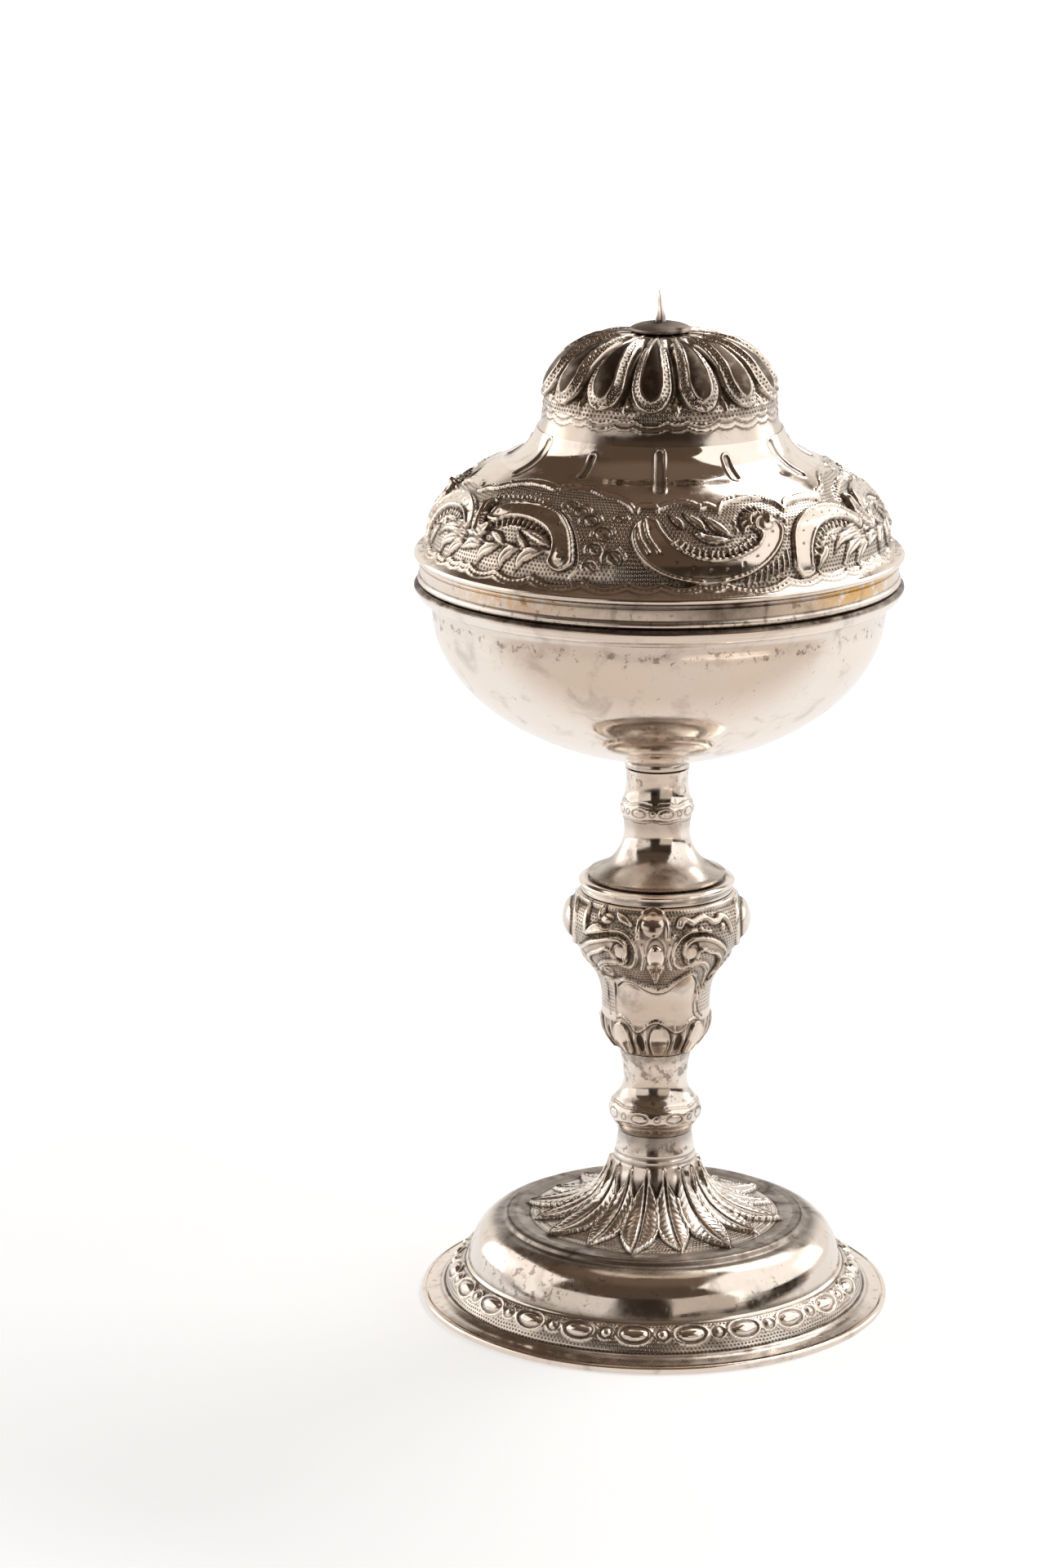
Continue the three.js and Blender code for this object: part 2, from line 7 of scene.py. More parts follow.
import bpy
import numpy as np
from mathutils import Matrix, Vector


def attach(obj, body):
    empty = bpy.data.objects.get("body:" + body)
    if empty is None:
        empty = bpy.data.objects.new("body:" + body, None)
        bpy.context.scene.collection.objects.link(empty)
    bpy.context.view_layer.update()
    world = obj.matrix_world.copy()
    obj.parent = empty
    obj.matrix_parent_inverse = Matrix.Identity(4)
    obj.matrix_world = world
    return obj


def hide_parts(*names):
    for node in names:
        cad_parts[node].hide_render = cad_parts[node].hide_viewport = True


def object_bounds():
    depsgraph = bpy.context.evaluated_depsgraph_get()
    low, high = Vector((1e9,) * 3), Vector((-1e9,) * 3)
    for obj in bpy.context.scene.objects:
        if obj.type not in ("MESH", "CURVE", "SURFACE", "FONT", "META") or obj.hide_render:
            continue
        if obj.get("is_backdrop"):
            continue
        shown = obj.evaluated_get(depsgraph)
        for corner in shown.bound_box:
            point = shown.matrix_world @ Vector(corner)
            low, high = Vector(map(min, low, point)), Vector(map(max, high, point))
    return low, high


bl_info = {
    "name": "Chased Covered Cup",
    "version": (1, 0, 0),
    "blender": (4, 5, 0),
    "location": "3D View > Sidebar > Covered Cup",
    "description": "Chased lid, bowl, baluster stem and foot of a silver covered cup, with its studio",
    "category": "Object",
}

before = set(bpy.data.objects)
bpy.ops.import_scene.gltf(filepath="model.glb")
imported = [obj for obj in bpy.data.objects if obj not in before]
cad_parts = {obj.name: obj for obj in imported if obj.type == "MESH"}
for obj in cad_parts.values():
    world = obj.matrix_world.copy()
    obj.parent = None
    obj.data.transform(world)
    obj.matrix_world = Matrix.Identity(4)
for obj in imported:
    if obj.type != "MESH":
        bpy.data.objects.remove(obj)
CAD_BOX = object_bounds()

MM = 0.001
DEGREE = math.pi / 180

# Floor: radius in metres, glow near the cup for the camera, and colours mirrored in front of it and behind.
FLOOR_RADIUS = 9
FLOOR_GLOW = 0.465
FLOOR_BEFORE = (0.65, 0.565, 0.505)
FLOOR_BEHIND = (0.94, 0.94, 0.95)

# Camera: place in metres, degrees that it looks down, and lens in millimetres.
CAMERA_PLACE = (-0.0316, -1.070, 0.3995)
CAMERA_TILT = 14.33
CAMERA_LENS = 107.8

# Silver finishes: metal, roughness, stains, unevenness in millimetres and what else silver() takes.
FINISHES = {
    "polished_silver": ("plain", 0.09, 0.24, 0.06, {"lines": 0.006}),
    "turned_silver": ("plain", 0.12, 0.32, 0.03, {"lines": 0.010}),
    "bell_silver": ("plain", 0.08, 0.42, 0.08, {}),
    "crown_silver": ("chased", 0.11, 0.35, 0.08, {"punches": (158, 0.98)}),
    "shoulder_silver": ("chased", 0.13, 0.35, 0.10, {"punches": (330, 0.88)}),
    "vase_silver": ("chased", 0.14, 0.4, 0.08, {"punches": (140, 0.92)}),
    "stem_silver": ("plain", 0.12, 0.42, 0.06, {}),
    "leaf_silver": ("plain", 0.15, 0.32, 0.10, {"punches": (210, 0.86)}),
    "band_silver": ("plain", 0.14, 0.32, 0.08, {"punches": (330, 0.82)}),
    "gilded_silver": ("plain", 0.22, 0.3, 0.03, {"lines": 0.008, "gilded": True}),
    "tarnished_silver": ("tarnished", 0.32, 0.7, 0.08, {}),
}

# Repeats round the cup: pairs of leaves, ovals of the chased band and lobes of the crown.
LEAF_PAIRS = 8
BAND_OVALS = 23
LOBES = 14
# Half of a lobe in degrees, and the largest radius in millimetres of the lid's rolled edge.
HALF_LOBE = 12.857
EDGE_RADIUS = 56.99

# Outlines in millimetres, (radius, height), as they are met going down the outside of the piece.
CROWN = [(1.7, 233.3), (5, 233.3), (8, 233.3), (13.5, 232.7), (17.6, 231.6), (21, 229.8), (22.9, 228.4),
         (24.8, 226.2), (26.1, 224.2), (26.9, 222), (27.3, 219.8), (27.4, 218), (27.4, 216.2),
         (27.7, 214.8), (28.0, 213.4), (28.6, 211.5)]
BELL = [(28.6, 211.5), (29.6, 209.3), (31.0, 207.4), (33.5, 205.5), (36.9, 203.9)]
SHOULDER = [(36.9, 203.9), (39.9, 202.5), (42.7, 201.0), (45.2, 199.4), (47.4, 197.9), (48.5, 196.5),
            (50, 195), (51.1, 193.5), (52.0, 192), (52.7, 190.5), (53.3, 189), (53.6, 187.4),
            (53.8, 186.0), (54.3, 184.6), (55.2, 183.6), (56.3, 182.9)]
FLANGE_EDGE = [(56.3, 182.9), (56.8, 182.6), (57.0, 182.1), (56.9, 181.6), (56.4, 181.2)]
TRUMPET = [(8.7, 41.3), (9.3, 37.5), (10.1, 34.0), (10.6, 32.0), (11.5, 30.2), (12.4, 28.5), (13.6, 26.9),
           (15.3, 25.0), (17.4, 23.6), (20, 22.3), (23.0, 21.3), (26.4, 20.6), (29.8, 20.2), (33.2, 20.2)]
PLATEAU = [(33.2, 20.2), (35.2, 20.1), (35.9, 19.8), (36.3, 19.1), (36.8, 18.9)]
TORUS = [(36.8, 18.9), (38.3, 18.7), (39.9, 18.0), (41.3, 16.9), (42.4, 15.6), (43.5, 13.6), (43.9, 12.4),
         (44.4, 10.6), (44.7, 9.3), (44.8, 8.9)]
CHASED_BAND = [(44.8, 8.9), (45.3, 8.5), (46.2, 8.1), (47.5, 7.3), (48.6, 6.2), (49.4, 5.0), (49.9, 4.0),
               (50.3, 3.2), (50.9, 2.8)]
FLANGE = [(50.9, 2.8), (51.4, 2.55), (52.4, 2.2), (53.6, 2.0), (54.7, 1.8)]
VASE = [(17.9, 100.7), (19.6, 99.7), (21.3, 97.9), (22.0, 96), (22.3, 94.2), (22.2, 92.5), (21.8, 91),
        (20.9, 89), (19.7, 87.3), (18, 85), (16.6, 83.4), (15.0, 81.3), (13.9, 79.2), (13.2, 76.5),
        (13, 74.2), (12.9, 72), (13, 70.6), (12.9, 69), (12.7, 67.5), (12.1, 66.0), (11, 64.4),
        (9.9, 62.9), (8.8, 61.8)]
LOWER_KNOP = [(8.5, 61.5), (8.23, 60), (7.77, 57), (7.59, 54), (7.83, 52.5), (8.4, 51), (9.6, 49.5),
              (10.7, 48), (11.06, 46.5), (10.8, 45), (9.9, 43.5), (9.1, 42.2), (8.9, 41.6)]
UPPER_STEM = [(7.56, 130.4), (7.4, 129), (7.4, 126), (7.6, 124.5), (8.05, 123), (8.62, 121.4),
              (8.6, 120), (8.05, 118.5), (7.86, 117), (7.9, 114), (8.3, 112.5), (8.86, 111), (9.7, 109.5),
              (10.9, 108), (12.9, 106.5), (14.6, 105.6), (16.2, 105.05)]

# Long tongues of the bell: degrees from the front, and how far they reach down the shoulder in millimetres.
LONG_TONGUES = [(-1.8, 2.8), (58.2, 1.6)]

# Drawing of the lid's shoulder: one third of the way round, (degrees from the front, mm down the shoulder).
GREAT_ARCH = [(-53, 15.5), (-52.5, 12.5), (-50, 10.2), (-45, 8.9), (-40, 8.6), (-34, 9.3), (-29, 11.2),
              (-25.5, 14.5), (-23.3, 19), (-23, 23), (-26.5, 24.8), (-29.5, 23), (-29, 20.5), (-29.5, 18),
              (-32, 15.4), (-36, 13.8), (-41, 13.2), (-46, 13.7), (-50, 15.5)]
ARCH_VOLUTE = [(-56.5, 9.5), (-58, 12.5), (-58, 16), (-56, 19), (-53, 19.9), (-50.8, 18.5), (-50.5, 16.2),
               (-51.8, 16.0), (-53.2, 17.0), (-54.5, 15.5), (-55, 12), (-54.6, 10)]
SHELL_SCROLL = [(-5, 10.4), (-7.8, 12.2), (-8.8, 15), (-8, 18.2), (-5.5, 21.5), (-1, 24.3), (6, 26.2),
                (14, 26.4), (21, 24.8), (27, 21.5), (31, 17.5), (32.2, 14.5), (31, 12.6), (28.6, 11.6),
                (26, 11.4), (24.3, 12.6), (24, 14.5), (25.2, 15.8), (24, 17.7), (19.5, 19.9), (14, 20.9),
                (8.5, 20.4), (4, 18.6), (0.8, 15.9), (-1.2, 13.2), (-2.4, 11.2)]
SMALL_ARCH = [(33, 25), (33.2, 20.5), (34.5, 16.8), (37.5, 13.8), (42, 11.6), (48, 10.7), (54, 11.3),
              (59, 13.5), (62, 17), (60, 19), (58, 17.2), (54.5, 15.6), (49.5, 15), (44.5, 16), (41, 18.2),
              (38.8, 21.2), (38.3, 24), (38.6, 26), (36.8, 27), (34.5, 27)]
SHOULDER_LEAVES = [
    ([(-29.5, 19.4), (-33.5, 17.6), (-40, 16.2)], 1.15), ([(-36, 20.2), (-38.6, 18.8), (-40.6, 16.6)], 0.8),
    ([(-31.5, 20.8), (-34.4, 21.2), (-37.2, 23), (-38.6, 26)], 1.45),
    ([(-38.6, 20.8), (-41, 21.5), (-43, 23.5), (-43.6, 26.4)], 1.4),
    ([(-44.8, 20.8), (-48, 21.6), (-50.6, 23.4), (-51.6, 26)], 1.45),
    ([(-43.5, 20.4), (-47, 18.6), (-50, 18.0)], 1.0), ([(-51, 21.4), (-55, 21.6), (-59, 23.6)], 1.3),
    ([(-50.5, 20.6), (-54, 19.2), (-60, 19.4)], 1.0), ([(4.9, 13.4), (3.2, 11.3), (1.0, 9.2)], 0.9),
    ([(10.8, 14), (8.2, 11.5), (5.0, 8.8)], 1.1), ([(17.4, 15.8), (13.6, 13), (10.2, 9.6)], 1.25),
    ([(16.6, 16.8), (11, 16.2), (6.4, 14)], 1.1),
    ([(44.6, 20.6), (42.6, 22.6), (40.8, 24.4), (40, 26.6)], 1.1),
    ([(62, 20), (55.5, 19.4), (49.5, 20.4), (46.2, 23)], 1.2),
    ([(62, 21), (56, 21.6), (51.4, 23.6), (49, 27)], 1.3),
    ([(62, 22), (58.6, 23), (56, 25), (54.8, 27.6)], 1.2),
    ([(62, 18.8), (57.5, 17.9), (52.5, 18)], 0.8),
]
SHOULDER_STEMS = [
    [(-29, 20.6), (-33, 20.1), (-38, 20.6), (-43, 20.2), (-48, 20.9), (-53, 20.4), (-58, 21.2)],
    [(-30, 9.3), (-27, 11.8), (-24, 15), (-22, 19), (-21.5, 23.4), (-23.5, 26)],
    [(-57.6, 11), (-57, 15), (-55.4, 18.6)], [(-55.8, 10.6), (-55.4, 14), (-54, 17.4)],
    [(-7.4, 12.6), (-6.6, 16), (-4.2, 19.6)], [(-5.6, 11.6), (-4.6, 15.4), (-1.8, 19.4)],
]
SHOULDER_BLOOMS = [(-28.4, 7.6, 1.5, 1.0), (-24.6, 9.4, 1.6, 1.2), (-20.6, 11.8, 1.7, 1.3),
                   (-16.4, 15.2, 1.9, 1.5), (-17.8, 19.2, 1.4, 1.2), (-12.8, 21.0, 1.9, 1.7),
                   (-18.4, 23.4, 1.3, 1.1), (-12.6, 10.8, 1.1, 0.9)]
# Punch marks: how many, and the line they follow.
SHOULDER_DOTS = [
    (9, [(-52, 13.5), (-46, 11.3), (-40, 10.9), (-34, 11.8), (-29, 14), (-26.3, 18), (-26, 22)]),
    (11, [(-3, 12), (-5, 16), (-1, 20), (6, 23), (14, 23.7), (22, 21.5), (28, 17), (29, 13.5)]),
    (8, [(36, 21), (38, 16.5), (42, 13.8), (48, 12.8), (54, 13.4), (59, 15.8)]),
]
# Rows of teeth: how many, their length, width and height, and the line they stand on.
SHOULDER_TEETH = [
    (12, 1.5, 0.5, 0.55, [(-49.5, 15.6), (-45.5, 14.2), (-41, 13.9), (-36.5, 14.6), (-32.5, 16.4),
                          (-30.2, 19)]),
    (15, -1.5, 0.46, 0.55, [(1.5, 17.0), (4.5, 19), (9, 20.6), (14, 21), (19.5, 20), (24.4, 17.6)]),
    (12, 1.5, 0.5, 0.55, [(39.6, 22.4), (41.8, 19), (45, 16.8), (49.5, 15.8), (54.5, 16.4), (57.5, 17.8)]),
    (13, -1.4, 0.5, 0.5, [(-59.5, 11.4), (-57.5, 9.4), (-54.5, 8.2), (-50, 7.2), (-45, 6.7), (-40, 7.0),
                          (-37, 7.8)]),
]
SHOULDER_THREADS = [
    [(-47.8, 17.4), (-45, 16), (-41, 15.6), (-37.4, 16.3), (-34.2, 17.9), (-32, 20)],
    [(4, 16.6), (6.5, 18), (10, 19), (14, 19.3), (18.5, 18.5), (22.6, 16.4)],
    [(42, 22.6), (43.6, 20), (46, 18.4), (49.8, 17.5), (54, 18)],
]
# Round bosses: degrees, mm down and radius.
SHOULDER_BEADS = [(-26.4, 21.3, 1.5), (27.6, 13.6, 1.5), (33.3, 11.8, 0.75), (34.6, 13.2, 0.7),
                  (33.2, 15, 0.5), (32.8, 16.8, 0.45), (19.2, 14.4, 0.6), (19.0, 12.4, 0.6),
                  (47.6, 19.4, 0.9), (8.8, 15.2, 0.8), (-10.6, 10.6, 0.5), (-11.6, 18.4, 0.5)]
UPPER_BORDER = [
    [(-57.5, 3.6), (-52, 1.8), (-45, 1.2), (-39, 2.0), (-36, 3.0)],
    [(-36, 1.6), (-30, 0.8), (-25, 0.9), (-21, 2.2)],
    [(-20, 2.6), (-15, 3.6), (-11, 5.6), (-9, 7.8)],
    [(-8, 7.6), (-7.5, 6.6), (-5, 6.3), (-2.8, 6.6), (-2, 7.6)],
    [(-1.5, 6.6), (1, 5.5), (4.5, 5.0), (8, 5.6), (10.2, 6.8)],
    [(10.4, 6.6), (12.5, 6.2), (14.8, 7.4)],
    [(15.5, 7.8), (17.5, 5.8), (21, 4.6), (26, 4.1), (31, 4.8), (34.5, 6.8), (36, 9.2)],
    [(36.5, 9.0), (38, 7.4), (42, 6.8), (47, 6.7), (50.5, 7.4), (51.8, 8.4)],
    [(52.2, 8.2), (54.5, 6.6), (58.5, 5.6), (62.5, 3.6)],
]
LOWER_CUSPS = [-57.5, -54, -44.5, -33.5, -20, -9, -1, 8.5, 14, 30.5, 40, 49, 57, 62.5]

# Drawing of the vase knop: half of the way round, (degrees from the front, mm down the vase).
VASE_VOLUTES = [
    [(-19.5, 12), (-19.8, 9.8), (-23, 8.4), (-30, 8.2), (-38, 9), (-47, 10.2), (-56, 12.2), (-66, 15.8),
     (-66, 19.2), (-57, 16.6), (-48, 14.4), (-40, 13.1), (-32, 12.3), (-30.5, 13.5), (-28.5, 15.6),
     (-24.5, 15.9), (-21, 14.6)],
    [(14.8, 12), (15.5, 9.6), (19, 8.2), (26, 7.9), (34, 8.6), (42, 10.3), (50, 13), (58, 17.2), (63, 21.5),
     (60, 24.5), (54, 20.6), (47, 16.4), (40, 13.7), (33, 12.6), (27, 12.2), (26, 14),
     (22.5, 15.7), (18, 15)],
]
VASE_SPIRALS = [
    [(-31, 12), (-28.5, 10.2), (-24, 9.6), (-20.8, 11), (-20.6, 13.2), (-24, 14.8), (-28, 14)],
    [(26.5, 12), (24.5, 10), (20, 9.5), (16.6, 11), (17, 13.4), (20.5, 14.7), (24, 13.8)],
]
VASE_RIMS = [
    [(-45, 8.3), (-38, 7.2), (-30, 6.6), (-23, 6.8), (-17.5, 8.4), (-14.6, 11.5), (-15.6, 14.8),
     (-19.5, 17.2), (-25, 17.4), (-30, 15.6)],
    [(34, 7.1), (26, 6.5), (18, 6.9), (12.5, 8.6), (9.2, 11.5), (9.8, 14.8), (13.5, 17), (19, 17.6),
     (24, 16.4)],
]
VASE_TAILS = [[(-32, 16.3), (-40, 16.9), (-50, 19), (-60, 22)],
              [(24, 16.2), (33, 16.6), (41, 19), (49, 22.6), (56, 27)]]
VASE_FLUTES = [[(-11, 10), (-9.5, 14), (-12, 18)], [(7, 10), (6, 14), (9, 18)]]
VASE_PENDANT = [[(-6, 17), (-4.5, 19.8), (-3, 22.6)], [(-2, 16.6), (-2, 19.5), (-2, 23)],
                [(2, 17), (0.5, 19.8), (-1, 22.6)]]
# Bosses: degrees, mm down, half width, half length and height.
VASE_DROPS = [(-24, 12, 1.7, 1.9, 0.5), (20, 12, 1.7, 1.9, 0.5), (-4, 4.4, 2.9, 3.5, 1.0),
              (-35.5, 3.8, 1.9, 1.6, 0.6), (27.7, 6.4, 0.95, 1.1, 0.5), (44.6, 6.6, 0.95, 1.1, 0.5),
              (-13.5, 6.4, 0.55, 0.55, 0.4), (9, 7.4, 0.55, 0.55, 0.4)]
VASE_LEAVES = [
    [(-44, 0.8), (-43, 3.2), (-40.5, 4.6), (-39.6, 3.2), (-40.4, 0.8)],
    [(-51, 9.2), (-47, 6.8), (-42, 5.6), (-37, 6.3), (-33, 7), (-39, 7.9), (-45, 8.4)],
    [(-30, 2), (-25, 2.2), (-20, 3.4), (-17.5, 5), (-23, 4.6), (-28, 3.4)],
    [(-57.5, 0.8), (-53, 2.6), (-50, 5.2), (-49.2, 8.2), (-52.5, 8.8), (-54, 6), (-57, 3)],
]
VASE_RIBBON = [(11, 5.4), (12.5, 3.4), (17, 2.6), (21.5, 3.4), (26, 2.8), (31, 2.5), (35, 3.6), (39, 4.2),
               (43, 3.2), (48, 3.6), (51.5, 5.6), (53.5, 8.6), (51, 8.6), (48.8, 6.2), (45.5, 4.8), (41, 5.6),
               (36.5, 5.6), (32, 4.2), (27, 4.4), (22, 5.2), (17.5, 4.4), (14, 5.8)]
VASE_FRAMES = [
    [(-40, 24.5), (-30, 22.6), (-20, 23.3), (-12, 25), (0, 26), (10, 25.2), (18, 23), (27, 20), (30, 20)],
    [(28, 19.5), (33, 21.5), (38, 23.5), (40, 25.5), (42, 27.5), (40.5, 29), (41, 31), (44, 32.5),
     (49, 33.5)],
    [(29, 20), (36, 21.5), (42, 23.8), (44.5, 26), (47, 27.5), (46, 29), (48, 31), (52, 32.5), (56, 33.3)],
    [(-43, 24), (-45, 26), (-47, 28), (-48, 30), (-47, 33)],
    [(-58, 23), (-57, 25), (-58, 27), (-60, 29), (-59.5, 31), (-57, 33)],
    [(-47, 33.4), (-40, 33), (-33, 33.8), (-28, 35), (-24, 36.2), (-18, 36.2), (-12, 35), (-5, 33.8),
     (3, 33.8), (10, 35), (18, 36.2), (28, 36.2), (34, 34.6), (42, 33.6), (50, 34)],
]
# Upper edge of the plain cartouche, all the way round this half.
CARTOUCHE_TOP = [(-92, 19), (-66, 22), (-58, 24), (-50, 24), (-44, 24.4), (-30, 22.6), (-12, 24.8), (0, 25.8),
                 (10, 25), (18, 22.8), (27, 20), (33, 21.4), (40, 24), (50, 27.5), (58, 26), (66, 23),
                 (88, 19)]


# Paths and profiles

def run_of(outline):
    """Distance along a line at each of its points."""
    return np.r_[0, np.cumsum(np.hypot(*np.diff(outline, axis=0).T))]


def smooth_path(points, step):
    """A smooth line through the points, with a point about every step."""
    p = np.array(points, float)
    along = run_of(p)
    slope = np.gradient(p, along, axis=0)
    t = np.linspace(0, along[-1], max(int(round(along[-1] / step)), 1) + 1)
    k = np.clip(np.searchsorted(along, t, side="right") - 1, 0, len(along) - 2)
    run = (along[k + 1] - along[k])[:, None]
    u = (t - along[k])[:, None] / run
    return ((2 * u**3 - 3 * u**2 + 1) * p[k] + (u**3 - 2 * u**2 + u) * run * slope[k]
            + (3 * u**2 - 2 * u**3) * p[k + 1] + (u**3 - u**2) * run * slope[k + 1])


def closed_path(points, step):
    """A smooth closed line through the points."""
    wrapped = list(points[-3:]) + list(points) + list(points[:3])
    line = smooth_path(wrapped, step)
    first, last = np.array(points[0], float), np.array(points[-1], float)
    start = np.argmin(np.hypot(*(line - first).T)[: len(line) // 2])
    end = len(line) // 2 + np.argmin(np.hypot(*(line - last).T)[len(line) // 2:])
    return np.vstack([line[start:end + 1], line[start]])


def ease(value, low, high):
    """Rises smoothly from 0 to 1 between low and high."""
    t = np.clip((np.asarray(value, float) - low) / (high - low), 0, 1)
    return t * t * (3 - 2 * t)


def between(value, rise, top, fall, end):
    """Rises from 0 to 1 between rise and top, and falls back to 0 between fall and end."""
    return ease(value, rise, top) * (1 - ease(value, fall, end))


def cut(distance, width):
    """Cross-section of a cut line: 1 on it, falling to 0 at the given half width."""
    return np.clip(1 - (distance / width) ** 2, 0, 1)


def ridge(distance, width):
    """Rounded cross-section of a raised line: 1 on it, 0 at the given half width."""
    return np.sqrt(cut(distance, width))


def patch(angle, middle, spread):
    """A soft patch: 1 at its middle, fading out on both sides."""
    return np.exp(-((angle - middle) / spread) ** 2)


def centred(angle, span):
    """Angle from the nearest repeat, in degrees."""
    return (np.asarray(angle) + span / 2) % span - span / 2


def end_round(along, begin, end):
    """1 up to begin, then down to 0 at end, as the end of an oval does."""
    return ridge(np.clip(along - begin, 0, None), end - begin)


def rim_gap(angle, half, chasing, end):
    """Distance from the rim of a shape with a half width in degrees at each row, less than 0 inside it."""
    across, reach = angle * chasing.scale, half * chasing.scale
    slope = np.gradient(reach[:, 0], chasing.down)[:, None]
    past = chasing.s - end
    return np.where(past > 0, np.hypot(across, past), (across - reach) / np.sqrt(1 + slope**2))


def blurred(values, turns):
    """Values smoothed over their neighbours, wrapping round the piece."""
    out = values
    for _ in range(turns):
        out = (np.roll(out, 1, 1) + np.roll(out, -1, 1) + 2 * out) / 4
        padded = np.vstack([out[:1], out, out[-1:]])
        out = (padded[:-2] + padded[2:] + 2 * out) / 4
    return out


def at_least(layer, window, values):
    """Raises a window of a layer to the values where they are higher."""
    layer[window] = np.maximum(layer[window], values)


class Chasing:
    """One repeat of a chased drawing on a turned surface: its height in millimetres, its tones and its angle
    a in degrees and way down s in millimetres at every point."""

    def __init__(self, outline, start, repeats, columns):
        self.outline = np.asarray(outline, float)
        self.down = run_of(self.outline)
        self.start, self.span, self.repeats = start, 360 / repeats, repeats
        self.theta = start + self.span * np.arange(columns) / columns
        self.radius = np.maximum(self.outline[:, 0], 1.0)
        self.scale = self.radius[:, None] * DEGREE
        shape = (len(self.down), columns)
        self.height, self.dark, self.bare, self.punched, self.blotch = (np.zeros(shape) for _ in range(5))
        self.a = np.broadcast_to(self.theta, shape)
        self.s = np.broadcast_to(self.down[:, None], shape)

    def near(self, path, margin):
        """Windows near a line, each with the distance to it, share along it and its turn in degrees."""
        for shift in (-self.span, 0, self.span):
            line = path + [shift, 0]
            (left, top), (right, bottom) = line.min(axis=0), line.max(axis=0)
            rows = np.where((self.down > top - margin) & (self.down < bottom + margin))[0]
            if not len(rows):
                continue
            side = margin / DEGREE / self.radius[rows].min()
            cols = np.where((self.theta > left - side) & (self.theta < right + side))[0]
            if not len(cols):
                continue
            rows, cols = slice(rows[0], rows[-1] + 1), slice(cols[0], cols[-1] + 1)
            x, y = self.theta[cols] * self.scale[rows], self.down[rows][:, None]
            best = np.full(x.shape, 1e9)
            share = np.zeros(x.shape)
            px, py = line[:, 0] * self.scale[rows], line[:, 1]
            for k in range(len(line) - 1):
                ax, ay = px[:, k:k + 1], py[k]
                dx, dy = px[:, k + 1:k + 2] - ax, py[k + 1] - ay
                t = np.clip(((x - ax) * dx + (y - ay) * dy) / (dx * dx + dy * dy + 1e-9), 0, 1)
                d = (x - ax - t * dx) ** 2 + (y - ay - t * dy) ** 2
                closer = d < best
                best = np.where(closer, d, best)
                share = np.where(closer, (k + t) / (len(line) - 1), share)
            yield (rows, cols), np.sqrt(best), share, shift

    def engrave(self, pattern, depth, dark):
        """Cuts a pattern over the whole map and darkens it."""
        self.height -= depth * pattern
        self.dark += dark * pattern

    def cord(self, points, width, height, taper=0.0):
        """A raised line, narrowing towards its end by the taper."""
        for window, d, t, _ in self.near(smooth_path(points, 0.6), width):
            self.height[window] += height * (1 - 0.4 * taper * t) * ridge(d, width * (1 - taper * t))

    def groove(self, points, width, depth):
        """A cut line, dark in its bottom."""
        for window, d, _, _ in self.near(smooth_path(points, 0.6), width):
            self.height[window] -= depth * cut(d, width)
            at_least(self.dark, window, 0.8 * cut(d, width))

    def form(self, points, height, roll, dish, lip):
        """A raised field with a rolled edge and a slightly sunk middle."""
        path = closed_path(points, 0.5)
        for window, d, _, shift in self.near(path, 6.0):
            x, y = self.a[window], self.s[window]
            line = path + [shift, 0]
            inside = np.zeros(d.shape, bool)
            for (x0, y0), (x1, y1) in zip(line[:-1], line[1:]):
                if y0 != y1:
                    inside ^= ((y0 > y) != (y1 > y)) & (x < (x1 - x0) * (y - y0) / (y1 - y0) + x0)
            depth = np.where(inside, d, -d)
            face = height * ease(depth, -0.25, 0.3) + lip * ridge(depth - roll, roll) * (depth > -0.1)
            face -= dish * ease(depth, 1.4 * roll, 3.0 * roll)
            now = self.height[window]
            self.height[window] = np.where(depth > -0.25, np.maximum(now, face), now)
            at_least(self.bare, window, ease(depth, -0.2, 0.2))
            at_least(self.dark, window, 0.5 * cut(depth - 2.1 * roll, 0.32) + 0.6 * cut(depth + 0.2, 0.3))

    def drop(self, theta, down, across, along, height, turn=0.0):
        """A small oval boss, its long axis turned from straight down by an angle in degrees."""
        spot = np.array([[theta, down], [theta + 0.01, down]])
        c, s = math.cos(turn * DEGREE), math.sin(turn * DEGREE)
        for window, _, _, shift in self.near(spot, max(across, along)):
            x = (self.a[window] - theta - shift) * self.scale[window[0]]
            y = self.s[window] - down
            out = np.hypot((x * c + y * s) / across, (y * c - x * s) / along)
            self.height[window] += height * ridge(out, 1)
            at_least(self.bare, window, ridge(out, 1))
            at_least(self.dark, window, 0.55 * cut((out - 1) * min(across, along), 0.3))

    def dots(self, points, count, size=0.36, depth=0.2):
        """Round punch marks spaced evenly along a line, dark in the bottom."""
        path = smooth_path(points, 0.2)
        for k in range(count):
            place = path[int((k + 0.5) / count * (len(path) - 1))]
            for window, d, _, _ in self.near(np.array([place, place + [0.01, 0]]), size):
                self.height[window] -= depth * cut(d, size)
                at_least(self.dark, window, cut(d, size))

    def leaf(self, points, width, height=0.7):
        """A pointed leaf along a line, with a cut midrib and a dark edge."""
        for window, d, t, _ in self.near(smooth_path(points, 0.4), width + 0.7):
            half = width * np.sin(math.pi * np.clip(t, 0.02, 0.98) ** 0.85) ** 1.1
            body = ridge(d, half)
            rib = cut(d, 0.3) * (t < 0.9)
            at_least(self.height, window, height * body**0.7)
            self.height[window] -= 0.28 * rib * (body > 0)
            edge = 0.75 * np.maximum(cut(d - half - 0.22, 0.34), rib)
            at_least(self.dark, window, np.maximum(edge, 0.3 * ease(half - 0.3 - d, 0, 0.3)))
            at_least(self.bare, window, ease(half + 0.2 - d, 0, 0.3))

